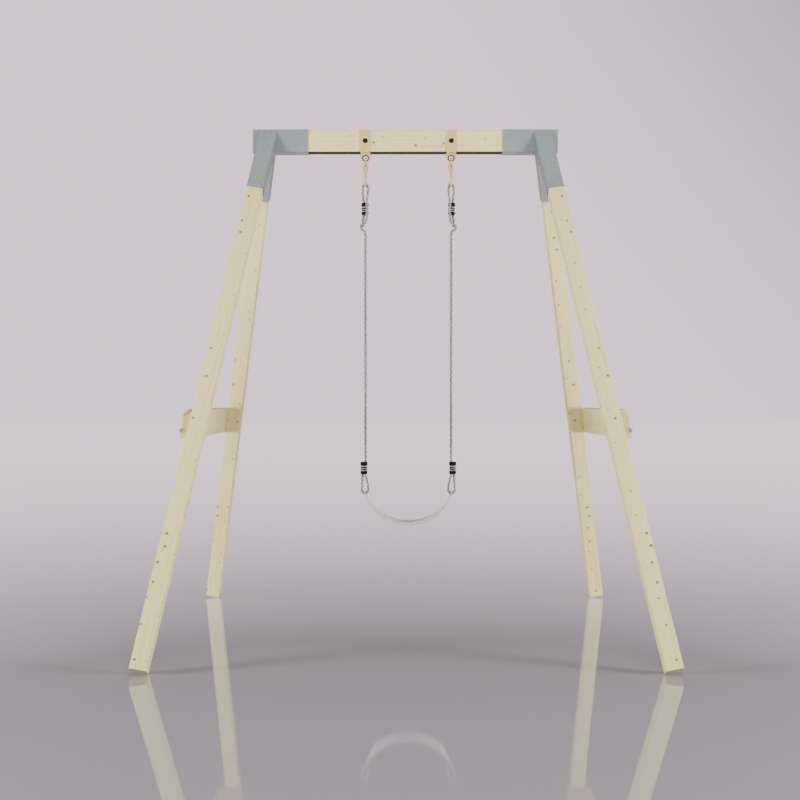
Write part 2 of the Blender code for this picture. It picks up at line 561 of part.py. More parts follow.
def build_hanging(word, side, swing, zinc, dark, plastic, cord):
    x = side * HANGER_SPACING / 2
    place = Matrix.Translation((x, 0, 0))
    width, depth, height = HEAD_SIZE
    block = bar("swivel head", width, depth, HEAD_ROUND, -HEAD_TOP - height, -HEAD_TOP)
    head = add_mesh(word + "_swivel_head", block, zinc, swing, place)
    edge = head.modifiers.new("round edges", "BEVEL")
    edge.width = HEAD_EDGE
    edge.segments = 1
    edge.limit_method = "ANGLE"
    edge.angle_limit = radians(60)
    foot = -HEAD_TOP - BOW_DEPTH_IN_HEAD
    inset = BOW_HALF_WIDTH - BOW_CORNER
    path = [(-BOW_HALF_WIDTH, foot), *arc((-inset, -BOW_CORNER), BOW_CORNER, 180, 90, 5),
            *arc((inset, -BOW_CORNER), BOW_CORNER, 90, 0, 5), (BOW_HALF_WIDTH, foot)]
    add_mesh(word + "_bow", sweep_rod("bow", path, BOW_ROD), zinc, swing, place)
    for leg_word, end in FRONT_BACK:
        drill((head,), word + "_" + leg_word + "_bow_hole", BOW_ROD + GAP, BOW_DEPTH_IN_HEAD + GAP + OVERCUT,
              swing, place @ Matrix.Translation((0, end * BOW_HALF_WIDTH, foot - GAP)), 12)
    shank = sweep_rod("shank", ((0, -SHANK_TOP), (0, -HOOK_UPPER_CENTRE + HOOK_HALF_WIDTH)), HOOK_ROD)
    hook = add_mesh(word + "_snap_hook", sweep_rod("snap hook", hook_path(), HOOK_ROD), zinc, swing, place)
    boolean(hook, add_mesh(word + "_shank", shank, None, swing, place), "UNION")
    for edge_word, edge_side in LEFT_RIGHT:
        cheek_x = edge_side * (GATE_ROD + GATE_CLEARANCE + CHEEK_THICKNESS / 2)
        cheek = bar("cheek", CHEEK_THICKNESS, 2 * GATE_ROD, CHEEK_ROUND, -GATE_PIVOT - GATE_ROD,
                    -GATE_PIVOT + CHEEK_ROOT)
        boolean(hook, add_mesh(word + "_" + edge_word + "_cheek", cheek, None, swing,
                               place @ Matrix.Translation((cheek_x, -HOOK_HALF_WIDTH, 0))), "UNION")
    drill((head,), word + "_shank_hole", HOOK_ROD + GAP, OVERCUT + HEAD_TOP + height - SHANK_TOP + GAP, swing,
          place @ Matrix.Translation((0, 0, -HEAD_TOP - height - OVERCUT)), 16)
    span = depth + 2 * GAP
    pin_face = place @ Matrix.Translation((0, -span / 2, -HEAD_TOP - PIN_DROP))
    pin_place = pin_face @ Matrix.Rotation(pi / 2, 4, "X")
    rivet = [(PIN_HEAD_RADIUS * r, PIN_HEAD_HEIGHT * z) for r, z in RIVET_DOME]
    far_rivet = [(r, -span - z) for r, z in reversed(rivet)]
    pin = turned("head pin", (*rivet, (PIN_RADIUS, 0), (PIN_RADIUS, -span), *far_rivet), 10)
    add_mesh(word + "_head_pin", pin, dark, swing, pin_place)
    drill((head, hook), word + "_head_pin_hole", PIN_RADIUS + GAP, span + 2 * OVERCUT, swing,
          pin_place @ Matrix.Translation((0, 0, -span - OVERCUT)), 10)
    pivot = place @ Matrix.Translation((0, -HOOK_HALF_WIDTH, -GATE_PIVOT))
    dome = [(max(r, GATE_TIP), z) for r, z in arc((0, 0), GATE_ROD, 90, 0, 3)]
    tip = [(r, -GATE_LENGTH - z) for r, z in reversed(dome)]
    gate = add_mesh(word + "_hook_gate", turned("gate", (*dome, *tip), 12), zinc, swing, pivot)
    across = pivot @ Matrix.Rotation(pi / 2, 4, "Y")
    reach = GATE_ROD + GATE_CLEARANCE + CHEEK_THICKNESS + GATE_PIN_PROUD
    half_pin = [(GATE_PIN_RADIUS, reach - GATE_PIN_CHAMFER), (GATE_PIN_RADIUS - GATE_PIN_CHAMFER, reach)]
    rod = turned("gate pin", (*[(r, -z) for r, z in reversed(half_pin)], *half_pin), 10)
    add_mesh(word + "_gate_pin", rod, dark, swing, across)
    drill((gate, hook), word + "_gate_pin_hole", GATE_PIN_RADIUS + GAP, 4 * reach, swing,
          across @ Matrix.Translation((0, 0, -2 * reach)), 10)
    build_clamp(word + "_upper_clamp", swing, side, x + side * UPPER_CLAMP_OUT, 0.0, UPPER_CLAMP_TOP, False,
                plastic)
    build_clamp(word + "_lower_clamp", swing, side, x + side * LOWER_CLAMP_OUT, CLAMP_INNER_CHANNEL[1],
                LOWER_CLAMP_TOP, True, plastic)
    build_rope(word + "_rope", swing, side, x, cord)


def build_clamp(name, swing, side, x, y, top, turned_round, plastic):
    """Ribbed clamp with one closed and one open channel; the lower ones are turned half round."""
    angles = circle_angles(16)
    rings = []
    for share, scale in CLAMP_BANDS:
        rings.append([(scale * CLAMP_HALF_WIDTH * cos(a), scale * CLAMP_HALF_DEPTH * sin(a),
                       -share * CLAMP_HEIGHT) for a in angles])
    place = Matrix.Translation((x, y, -top))
    clamp = add_mesh(name, loft("clamp", rings), plastic, swing, place)
    turn = -1 if turned_round else 1
    for channel_word, (cx, cy) in (("inner", CLAMP_INNER_CHANNEL), ("open", CLAMP_OPEN_CHANNEL)):
        spot = Matrix.Translation((side * turn * cx, turn * cy, -CLAMP_HEIGHT - OVERCUT))
        drill((clamp,), name + "_" + channel_word + "_channel", ROPE_DIAMETER / 2 + ROPE_FIT,
              CLAMP_HEIGHT + 2 * OVERCUT, swing, place @ spot, 16)


def build_rope(name, swing, side, x, cord):
    curve = bpy.data.curves.new(name, "CURVE")
    curve.dimensions = "3D"
    curve.bevel_depth = ROPE_DIAMETER / 2
    curve.bevel_resolution = 2
    curve.use_fill_caps = True
    points = smooth_route([(x + side * out, y, -drop) for out, y, drop in ROPE_ROUTE], ROPE_STEP, ROPE_STRAY)
    spline = curve.splines.new("POLY")
    spline.points.add(len(points) - 1)
    for spot, point in zip(spline.points, points):
        spot.co = (*point, 1.0)
    spline.use_smooth = True
    curve.materials.append(cord)
    rope = bpy.data.objects.new(name, curve)
    bpy.context.scene.collection.objects.link(rope)
    rope.parent = swing


def seat_shape():
    """Half-axes of the sling's ellipse, from the eyelets' spacing and the sag."""
    half_span = HANGER_SPACING / 2 + EYELET_OUT
    past = SEAT_END_ANGLE - SEAT_FLAT_ANGLE
    a = half_span / (sin(SEAT_FLAT_ANGLE) + past * cos(SEAT_FLAT_ANGLE))
    return a, SEAT_SAG / (1 - cos(SEAT_FLAT_ANGLE) + past * sin(SEAT_FLAT_ANGLE))


def seat_middle(angle):
    """Middle line of the belt at an angle from its lowest point, and the normal there."""
    a, b = seat_shape()
    bend = min(abs(angle), SEAT_FLAT_ANGLE)
    past = abs(angle) - bend
    sign = -1 if angle < 0 else 1
    rise = b * (1 - cos(bend) + past * sin(bend))
    point = Vector((sign * a * (sin(bend) + past * cos(bend)), 0, rise - SEAT_SAG - EYELET_UNDER_AXIS))
    return point, Vector((-sign * b * sin(bend), 0, a * cos(bend))).normalized()


def eased(angle, start, end, low, high):
    """A size that changes softly between two angles from the belt's lowest point."""
    share = min(max((abs(angle) - start) / (end - start), 0.0), 1.0)
    return low + (high - low) * share * share * (3 - 2 * share)


def seat_half_width(angle):
    """Half the belt's width at an angle from the bottom, tapered to the eyelets and round at the tips."""
    half = eased(angle, SEAT_TAPER_START, SEAT_TAPER_END, SEAT_WIDTH, SEAT_END_WIDTH) / 2
    a, b = seat_shape()
    arm = sqrt((a * cos(SEAT_FLAT_ANGLE)) ** 2 + (b * sin(SEAT_FLAT_ANGLE)) ** 2)
    past = (abs(angle) - SEAT_END_ANGLE) * arm
    reach = SEAT_TIP_ANGLE * arm
    if past > 0:
        half *= sqrt(max(1 - (past / reach) ** 2, SEAT_TIP_BLUNT))
    return half


def build_seat(seat, rubber, metal):
    """The belt, with the seat's origin on the line through its eyelets."""
    end = SEAT_END_ANGLE + SEAT_TIP_ANGLE
    steps = 26
    shares = [i / steps for i in range(steps + 1)]
    bends = [end * sin(pi / 2 * (2 * s - 1)) for s in shares]
    rings = []
    for angle in bends:
        point, normal = seat_middle(angle)
        half = seat_half_width(angle)
        thick = eased(angle, SEAT_THIN_START, SEAT_THIN_END, SEAT_THICKNESS, SEAT_END_THICKNESS)
        row = []
        for sign, widths in ((1, (-1, -0.5, 0, 0.5, 1)), (-1, (1, 0.5, 0, -0.5, -1))):
            for w in widths:
                row.append(point + sign * normal * thick / 2 + Vector((0, w * half, 0)))
        rings.append(row)
    belt = add_mesh("belt_seat", loft("belt seat", rings), rubber, seat)
    half = SEAT_END_THICKNESS / 2
    out = EYELET_BORE + EYELET_WALL
    face = half + GAP
    lip = [(EYELET_BORE + EYELET_LIP, face + EYELET_LIP), (EYELET_FLANGE - EYELET_LIP, face + EYELET_LIP),
           (EYELET_FLANGE, face + EYELET_LIP / 2), (EYELET_FLANGE, face), (out, face)]
    section = [*lip, *[(r, -z) for r, z in reversed(lip)], (EYELET_BORE, -half), (EYELET_BORE, half)]
    for word, side in LEFT_RIGHT:
        point, axis = seat_middle(side * SEAT_END_ANGLE)
        place = Matrix.Translation(point) @ axis.to_track_quat("Z", "Y").to_matrix().to_4x4()
        mesh = turned(word + "_eyelet", section, 16, hollow=True)
        add_mesh(word + "_seat_eyelet", mesh, metal, seat, place)
        drill((belt,), word + "_seat_hole", out + GAP, 2 * OVERCUT, seat,
              place @ Matrix.Translation((0, 0, -OVERCUT)), 20)


def main():
    clear_scene()
    pine = finish("pine", (0.66, 0.58, 0.40), 0.62)
    steel = finish("grey coated steel", (0.42, 0.44, 0.44), 0.45, 0.35)
    zinc = finish("yellow zinc", (0.62, 0.52, 0.26), 0.35, 0.85)
    bare_zinc = finish("bright zinc", (0.55, 0.56, 0.57), 0.35, 0.9)
    dark = finish("dark steel", (0.03, 0.028, 0.025), 0.4, 0.6)
    plastic = finish("black plastic", (0.012, 0.012, 0.012), 0.5)
    cord = finish("grey rope", (0.36, 0.33, 0.35), 0.85)
    rubber = finish("pink belt", (0.70, 0.52, 0.54), 0.5)

    beam = build_beam(pine)
    swing = add_empty("swing_axis", matrix=Matrix.Translation((HANGER_SHIFT, 0, PIVOT_HEIGHT)))
    seat = add_empty("seat_axis", swing, Matrix.Translation((0, 0, -SEAT_AXIS_DROP)))
    for word, side in LEFT_RIGHT:
        build_side(word, side, beam, pine, steel, bare_zinc)
        build_hanger(word, side, beam, zinc, dark)
        build_hanging(word, side, swing, zinc, dark, plastic, cord)
    build_seat(seat, rubber, dark)


main()
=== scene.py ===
"""The finished look of a timber swing stand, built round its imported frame.

Every size comes from the frame's own nodes and joints, or from the settings in the property groups below.
Lengths are metres and +Z is up. Left is -X, and the front of the stand faces -Y.
"""

import json
from math import cos, pi, radians, sin, sqrt

import bmesh
import bpy
from bpy.props import FloatProperty, FloatVectorProperty, IntProperty, PointerProperty
from mathutils import Matrix, Vector


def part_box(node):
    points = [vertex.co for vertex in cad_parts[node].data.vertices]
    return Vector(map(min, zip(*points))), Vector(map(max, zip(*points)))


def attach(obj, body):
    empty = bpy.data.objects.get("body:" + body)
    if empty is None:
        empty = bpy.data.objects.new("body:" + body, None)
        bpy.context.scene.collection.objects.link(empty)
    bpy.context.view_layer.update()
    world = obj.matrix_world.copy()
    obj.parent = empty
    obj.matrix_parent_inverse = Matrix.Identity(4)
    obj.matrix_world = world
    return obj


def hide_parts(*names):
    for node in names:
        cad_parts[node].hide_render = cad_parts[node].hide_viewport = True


bl_info = {
    "name": "Timber Swing Stand",
    "version": (1, 0, 0),
    "blender": (4, 5, 0),
    "location": "3D View > Sidebar > Swing",
    "description": "Builds a timber swing stand with steel corners, two twisted ropes and a belt seat",
    "category": "Add Mesh",
}

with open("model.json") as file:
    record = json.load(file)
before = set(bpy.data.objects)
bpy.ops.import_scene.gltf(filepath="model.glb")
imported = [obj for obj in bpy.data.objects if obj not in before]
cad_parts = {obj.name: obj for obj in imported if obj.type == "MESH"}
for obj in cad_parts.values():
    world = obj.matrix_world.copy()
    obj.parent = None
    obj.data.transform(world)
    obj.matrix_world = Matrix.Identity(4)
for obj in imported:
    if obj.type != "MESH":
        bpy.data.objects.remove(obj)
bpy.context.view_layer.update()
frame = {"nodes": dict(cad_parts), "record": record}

SIDES = (("left", -1), ("right", 1))
ENDS = (("front", -1), ("back", 1))
JOINTS = {joint["name"]: joint for joint in frame["record"]["behaviour"]["joints"]}
SWING_AXIS = Vector(JOINTS["swing"]["pos_m"])
SEAT_AXIS = Vector(JOINTS["seat_rock"]["pos_m"])
GATE_AXES = {word: Vector(JOINTS[word + "_gate"]["pos_m"]) for word, _ in SIDES}

# How the side frames stand: leaned out along the beam, and splayed across it
SIDE_LEAN = radians(10.0)
LEG_SPLAY = radians(21.6)

# Hangers and snap hooks, up or down from the swing's axis
EYE_RISE = 0.0034
SHANK_BORE_DROP = 0.0287
SHANK_DROP = 0.0290
SHANK_FOOT_DROP = 0.0555
HOOK_CROWN_DROP = 0.0700

# A gate's rod, and its length from the hinge to the start of its round tip
GATE_ROD = 0.0035
GATE_LENGTH = 0.0180

# Rope clamps: where the closed and the open channel run, outward and along Y from the clamp's middle,
# and the middle's own place from its hanger, the lower clamps hanging the other way round
CLAMP_CHANNELS = ((0.0066, 0.0010), (-0.0066, -0.0085))
CLAMP_PLACES = (("upper", 1, (0.0020, 0.0)), ("lower", -1, (0.0066, 0.0010)))
CLAMP_DEPTH_SHARE = 0.0125 / 0.0150

# A clamp's ribs: share of its height from the top, and share of its full radius
CLAMP_RIBS = (
    (0.000, 0.60), (0.000, 0.90), (0.035, 1.00), (0.300, 1.00), (0.310, 0.74), (0.415, 0.74), (0.425, 1.00),
    (0.490, 1.00), (0.498, 0.74), (0.572, 0.74), (0.580, 1.00), (0.645, 1.00), (0.653, 0.74), (0.737, 0.74),
    (0.745, 1.00), (0.860, 1.00), (1.000, 0.78), (1.000, 0.55))

# One rope from its cut tail under the upper clamp to its cut tail over the lower one:
# outward of the hanger, along Y, and down from the swing's axis
ROPE_ROUTE = (
    (0.0086, 0.0010, 0.2840), (0.0104, 0.0010, 0.2590), (0.0086, 0.0010, 0.2390), (0.0086, 0.0010, 0.2096),
    (0.0086, 0.0010, 0.1835), (0.0098, 0.0006, 0.1600), (0.0110, 0.0002, 0.1380), (0.0108, 0.0000, 0.1175),
    (0.0078, 0.0000, 0.1091), (0.0000, 0.0000, 0.1060), (-0.0078, 0.0000, 0.1091), (-0.0108, 0.0000, 0.1175),
    (-0.0102, -0.0020, 0.1380), (-0.0076, -0.0060, 0.1600), (-0.0046, -0.0085, 0.1835), (-0.0046, -0.0085, 0.2096),
    (-0.0046, -0.0085, 0.2380), (-0.0040, -0.0092, 0.2530), (-0.0010, -0.0112, 0.2650), (0.0086, -0.0116, 0.2720),
    (0.0165, -0.0078, 0.2775), (0.0200, 0.0010, 0.2840), (0.0160, 0.0088, 0.2910), (0.0086, 0.0108, 0.2980),
    (0.0022, 0.0074, 0.3060), (0.0000, 0.0018, 0.3180), (0.0000, 0.0000, 0.3380), (0.0000, 0.0000, 0.3700),
    (0.0000, 0.0000, 0.7500), (0.0000, 0.0000, 1.2000), (0.0000, 0.0000, 1.2644), (0.0000, 0.0000, 1.3154),
    (-0.0022, 0.0000, 1.3300), (-0.0068, 0.0000, 1.3480), (-0.0104, 0.0000, 1.3660), (-0.0112, 0.0000, 1.3833),
    (-0.0074, 0.0000, 1.3924), (0.0017, 0.0000, 1.3962), (0.0108, 0.0000, 1.3924), (0.0146, 0.0002, 1.3833),
    (0.0148, 0.0014, 1.3660), (0.0141, 0.0048, 1.3480), (0.0134, 0.0082, 1.3300), (0.0132, 0.0095, 1.3154),
    (0.0132, 0.0095, 1.2720))


# ---------------------------------------------------------------- settings

def length(name, description, default):
    return FloatProperty(name=name, description=description, default=default, min=0.0, precision=4,
                         subtype="DISTANCE", unit="LENGTH")


def colour(name, description, default):
    return FloatVectorProperty(name=name, description=description, default=default, size=3, min=0.0, max=1.0,
                               subtype="COLOR")


def share(name, description, default):
    return FloatProperty(name=name, description=description, default=default, min=0.0, max=1.0,
                         subtype="FACTOR")


def power(name, description, default):
    return FloatProperty(name=name, description=description, default=default, min=0.0, unit="POWER")


class TimberSettings(bpy.types.PropertyGroup):
    pale: colour("Early wood", "Colour of the pale wood between the rings", (0.830, 0.755, 0.310))
    dark: colour("Late wood", "Colour of the darker lines of the rings", (0.660, 0.510, 0.210))
    knot: colour("Knots", "Colour of the knots", (0.070, 0.032, 0.014))
    ring_width: length("Ring width", "Distance between two year rings", 0.0042)
    knot_spacing: length("Knot spacing", "Usual distance between knots", 0.062)
    knot_radius: length("Knot radius", "Radius of the largest knots", 0.0058)
    arris: length("Arris", "Radius of the long edges", 0.0030)
    end_arris: length("End arris", "Bevel round the sawn ends", 0.0010)


class MetalSettings(bpy.types.PropertyGroup):
    bracket: colour("Bracket", "Coating on the corner brackets", (0.208, 0.240, 0.235))
    zinc: colour("Yellow zinc", "Plating on the hangers", (0.950, 0.760, 0.310))
    bright: colour("Bright zinc", "Plating on the wood screws", (0.620, 0.630, 0.640))
    dark: colour("Dark steel", "Bolt heads, pins and eyelets", (0.020, 0.017, 0.014))
    bevel: length("Bevel", "Width of the bevel on cut steel edges", 0.0005)
    wear: share("Edge wear", "How far the coating is rubbed off at edges", 0.35)


class RopeSettings(bpy.types.PropertyGroup):
    diameter: length("Diameter", "Diameter over the strands", 0.0110)
    lay: length("Lay", "Length of one turn of a strand", 0.0690)
    strands: IntProperty(name="Strands", description="Strands in the rope", default=3, min=2, max=4)
    light: colour("Light yarn", "Colour of the light yarns", (0.540, 0.515, 0.535))
    dark: colour("Dark yarn", "Colour of the dark yarns", (0.230, 0.212, 0.225))


class SeatSettings(bpy.types.PropertyGroup):
    colour: colour("Belt", "Colour of the belt", (0.940, 0.680, 0.760))
    # Painted shade: this darker colour is given to the belt's side faces.
    edge: colour("Belt edge", "Colour of the belt's cut edges", (0.600, 0.430, 0.510))
    clamp: colour("Clamps", "Colour of the rope clamps", (0.008, 0.008, 0.009))
    rim: length("Rim", "How far the belt's edge bead stands proud", 0.0006)


class StageSettings(bpy.types.PropertyGroup):
    floor: colour("Floor", "Colour of the floor", (0.440, 0.368, 0.418))
    backdrop: colour("Backdrop", "Colour of the light round the stage", (0.990, 0.780, 0.905))
    glow: FloatProperty(name="Backdrop glow", description="Brightness of the backdrop", default=1.34, min=0.0)
    room: share("Room light", "Share of the glow that lights the swing", 0.34)
    side: power("Side lights", "Power of the light on each side", 400.0)
    front: power("Front light", "Power of the high front light", 80.0)


# ---------------------------------------------------------------- mesh tools

def put(name, mesh, material, body, place=None, replaces=()):
    """A finished piece in the scene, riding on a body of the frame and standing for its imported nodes."""
    piece = bpy.data.objects.new(name, mesh)
    bpy.context.scene.collection.objects.link(piece)
    piece.matrix_world = place or Matrix()
    if material:
        mesh.materials.clear()
        mesh.materials.append(material)
    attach(piece, body)
    if replaces:
        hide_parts(*replaces)
    return piece


def guide(name, mesh, place=None):
    """A cutter: used by a Boolean and then removed."""
    item = bpy.data.objects.new(name, mesh)
    bpy.context.scene.collection.objects.link(item)
    item.matrix_world = place or Matrix()
    return item


def smooth(mesh, sharp=32):
    mesh.shade_smooth()
    mesh.set_sharp_from_angle(angle=radians(sharp))
    return mesh


def weight_normals(piece):
    step = piece.modifiers.new("Flat faces stay flat", "WEIGHTED_NORMAL")
    step.keep_sharp = True
    step.weight = 90


def round_edges(piece, width, segments=2, angle=40):
    step = piece.modifiers.new("Round edges", "BEVEL")
    step.width = width
    step.segments = segments
    step.limit_method = "ANGLE"
    step.angle_limit = radians(angle)
    step.use_clamp_overlap = True
    step.harden_normals = False


def apply_modifiers(piece):
    """Bakes the piece's modifiers into its mesh, so cutters can be removed."""
    evaluated = piece.evaluated_get(bpy.context.evaluated_depsgraph_get())
    mesh = bpy.data.meshes.new_from_object(evaluated)
    materials = list(piece.data.materials)
    piece.modifiers.clear()
    piece.data = mesh
    mesh.materials.clear()
    for material in materials:
        mesh.materials.append(material)


def combine(piece, other, operation):
    """Boolean with another object, which is removed afterwards."""
    step = piece.modifiers.new(operation.title(), "BOOLEAN")
    step.operation = operation
    step.object = other
    bpy.context.view_layer.update()
    apply_modifiers(piece)
    bpy.data.objects.remove(other, do_unlink=True)


def loft(name, rings, sharp=32, closed=False, along=None):
    """A closed skin through rings of equal count. The first UV map holds metres along and a share round."""
    work = bmesh.new()
    rows = [[work.verts.new(point) for point in ring] for ring in rings]
    layer = work.loops.layers.uv.new("length and turn")
    count = len(rows[0])
    steps = along or [float(i) for i in range(len(rows) + 1)]
    pairs = list(zip(rows, rows[1:])) + ([(rows[-1], rows[0])] if closed else [])
    for k, (lower, upper) in enumerate(pairs):
        for i in range(count):
            j = (i + 1) % count
            face = work.faces.new((lower[i], lower[j], upper[j], upper[i]))
            turns = (i / count, (i + 1) / count, (i + 1) / count, i / count)
            for loop, level, turn in zip(face.loops, (k, k, k + 1, k + 1), turns):
                loop[layer].uv = (steps[level], turn)
    if not closed:
        work.faces.new(rows[0])
        work.faces.new(rows[-1])
    bmesh.ops.recalc_face_normals(work, faces=work.faces)
    mesh = bpy.data.meshes.new(name)
    work.to_mesh(mesh)
    work.free()
    return smooth(mesh, sharp)


def circle_angles(sides, phase=0.0):
    return [phase + 2 * pi * i / sides for i in range(sides)]


def turned(name, profile, sides=48, squash=1.0, closed=False, sharp=32):
    """A turned piece about Z through (radius, height) pairs."""
    angles = circle_angles(sides)
    rows = [[(r * cos(a), squash * r * sin(a), z) for a in angles] for r, z in profile]
    return loft(name, rows, sharp, closed)


def rounded_profile(points, radius, steps=4):
    """A (radius, height) profile with its inner corners rounded."""
    done = [points[0]]
    for before, here, after in zip(points, points[1:], points[2:]):
        a, b, c = Vector(before), Vector(here), Vector(after)
        reach = min(radius, (a - b).length * 0.45, (c - b).length * 0.45)
        start = b + (a - b).normalized() * reach
        end = b + (c - b).normalized() * reach
        for i in range(steps + 1):
            t = i / steps
            done.append(tuple((1 - t) ** 2 * start + 2 * t * (1 - t) * b + t * t * end))
    done.append(points[-1])
    return done


def arc(centre, radius, start, end, steps):
    angles = [radians(start + (end - start) * i / steps) for i in range(steps + 1)]
    return [(centre[0] + radius * cos(a), centre[1] + radius * sin(a)) for a in angles]


def round_rect(width, height, radius, steps=5):
    points = []
    for cx, cy, start in ((1, 1, 0), (-1, 1, 90), (-1, -1, 180), (1, -1, 270)):
        for i in range(steps + 1):
            a = radians(start + 90 * i / steps)
            x, y = cx * (width / 2 - radius), cy * (height / 2 - radius)
            points.append((x + radius * cos(a), y + radius * sin(a)))
    return points


def ring(radii, angles, z):
    """One level of a piece about Z: a radius at each angle."""
    return [(r * cos(a), r * sin(a), z) for r, a in zip(radii, angles)]


def travel(points):
    """Metres along a path at each of its points."""
    run = [0.0]
    for a, b in zip(points, points[1:]):
        run.append(run[-1] + (b - a).length)
    return run


def path_frames(points, first=Vector((0, 1, 0))):
    """Two directions across the path at each point, carried along it without twisting."""
    side = first
    frames = []
    for i, _ in enumerate(points):
        tangent = (points[min(i + 1, len(points) - 1)] - points[max(i - 1, 0)]).normalized()
        side = (side - side.dot(tangent) * tangent).normalized()
        frames.append((side, tangent.cross(side)))
    return frames


def sweep(name, points, radii, sides=24, sharp=40):
    """A round rod along a path, with a radius at each point."""
    rings = []
    for point, radius, (u, v) in zip(points, radii, path_frames(points, Vector((1, 0, 0)))):
        rings.append([point + radius * (cos(a) * u + sin(a) * v) for a in circle_angles(sides)])
    return loft(name, rings, sharp, along=travel(points))


def smooth_route(route, step):
    """Even steps along a Catmull-Rom curve through the route's points."""
    points = [Vector(p) for p in route]
    points = [2 * points[0] - points[1], *points, 2 * points[-1] - points[-2]]
    dense = []
    for a, b, c, d in zip(points, points[1:], points[2:], points[3:]):
        knots = [0.0]
        for p, q in ((a, b), (b, c), (c, d)):
            knots.append(knots[-1] + sqrt((q - p).length))
        pieces = max(24, int((c - b).length / step) + 1)
        for i in range(pieces):
            t = knots[1] + (knots[2] - knots[1]) * i / pieces
            u = [((knots[k + 1] - t) * p + (t - knots[k]) * q) / (knots[k + 1] - knots[k])
                 for k, (p, q) in enumerate(((a, b), (b, c), (c, d)))]
            v = [((knots[k + 2] - t) * u[k] + (t - knots[k]) * u[k + 1]) / (knots[k + 2] - knots[k]) for k in (0, 1)]
            dense.append(((knots[2] - t) * v[0] + (t - knots[1]) * v[1]) / (knots[2] - knots[1]))
    dense.append(points[-2])
    run = travel(dense)
    total = int(run[-1] / step)
    even = []
    k = 0
    for i in range(total + 1):
        goal = run[-1] * i / total
        while k < len(run) - 2 and run[k + 1] < goal:
            k += 1
        t = (goal - run[k]) / (run[k + 1] - run[k])
        even.append(dense[k].lerp(dense[k + 1], min(max(t, 0.0), 1.0)))
    return even


def middle_of(node):
    low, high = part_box(node)
    return (Vector(low) + Vector(high)) / 2


def node_points(node):
    return [v.co.copy() for v in frame["nodes"][node].data.vertices]


def snug(node, turn):
    """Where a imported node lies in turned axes: the matrix of its middle, and its size along those axes."""
    back = turn.to_3x3().inverted()
    points = [back @ p for p in node_points(node)]
    low = Vector(min(p[i] for p in points) for i in range(3))
    high = Vector(max(p[i] for p in points) for i in range(3))
    middle = turn.to_3x3() @ ((low + high) / 2)
    return Matrix.Translation(middle) @ turn.to_3x3().to_4x4(), high - low


def refined(node, name, material, body, bevel=0.0):
    """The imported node's own shape with clean faces, smooth rounds and fine bevels."""
    work = bmesh.new()
    work.from_mesh(frame["nodes"][node].data)
    bmesh.ops.remove_doubles(work, verts=work.verts, dist=0.00002)
    bmesh.ops.dissolve_limit(work, angle_limit=radians(0.6), verts=work.verts, edges=work.edges)
    bmesh.ops.recalc_face_normals(work, faces=work.faces)
    mesh = bpy.data.meshes.new(name)
    work.to_mesh(mesh)
    work.free()
    piece = put(name, smooth(mesh), material, body, replaces=(node,))
    if bevel:
        round_edges(piece, bevel)
    weight_normals(piece)
    return piece


# ---------------------------------------------------------------- material tools

class Nodes:
    """Short ways to add and join nodes in a tree."""

    def __init__(self, tree):
        self.tree = tree

    def add(self, kind, inputs=None, **settings):
        node = self.tree.nodes.new(kind)
        for key, value in settings.items():
            setattr(node, key, value)
        for key, value in (inputs or {}).items():
            self.set(node.inputs[key], value)
        return node

    def set(self, socket, value):
        if isinstance(value, bpy.types.NodeSocket):
            self.tree.links.new(value, socket)
        else:
            socket.default_value = value

    def math(self, operation, a, b=0.0, clamp=False):
        return self.add("ShaderNodeMath", {0: a, 1: b}, operation=operation, use_clamp=clamp).outputs[0]

    def vector(self, operation, a, b=(0.0, 0.0, 0.0)):
        return self.add("ShaderNodeVectorMath", {0: a, 1: b}, operation=operation).outputs[0]

    def noise(self, vector, scale, detail=3.0, rough=0.5):
        node = self.add("ShaderNodeTexNoise",
                        {"Vector": vector, "Scale": scale, "Detail": detail, "Roughness": rough})
        return node.outputs["Fac"]

    def ramp(self, value, low, high, to_low=0.0, to_high=1.0):
        node = self.add("ShaderNodeMapRange", {"Value": value, "From Min": low, "From Max": high, "To Min": to_low,
                                               "To Max": to_high}, interpolation_type="SMOOTHSTEP")
        return node.outputs["Result"]

    def mix(self, factor, a, b, blend="MIX"):
        node = self.add("ShaderNodeMix", data_type="RGBA", blend_type=blend)
        self.set(node.inputs[0], factor)
        self.set(node.inputs[6], a)
        self.set(node.inputs[7], b)
        return node.outputs[2]

    def part(self, vector, axis):
        return self.add("ShaderNodeSeparateXYZ", {"Vector": vector}).outputs[axis]

    def size(self, vector):
        return self.add("ShaderNodeVectorMath", {0: vector}, operation="LENGTH").outputs["Value"]

    def facing(self, axis):
        """How far the surface faces along one of the object's own axes."""
        return self.part(self.add("ShaderNodeTexCoord").outputs["Normal"], axis)

    def facing_up(self):
        return self.part(self.add("ShaderNodeNewGeometry").outputs["Normal"], "Z")

    def bump(self, height, distance, strength=1.0):
        node = self.add("ShaderNodeBump", {"Height": height, "Distance": distance, "Strength": strength})
        return node.outputs["Normal"]


def group_tree(name, inputs, outputs):
    """An empty shader node group with named sockets, and short ways to its nodes."""
    tree = bpy.data.node_groups.new(name, "ShaderNodeTree")
    for socket, kind, default in inputs:
        made = tree.interface.new_socket(socket, in_out="INPUT", socket_type="NodeSocket" + kind)
        if default is not None:
            made.default_value = default
    for socket, kind in outputs:
        tree.interface.new_socket(socket, in_out="OUTPUT", socket_type="NodeSocket" + kind)
    nodes = Nodes(tree)
    return tree, nodes, nodes.add("NodeGroupInput").outputs, nodes.add("NodeGroupOutput").inputs


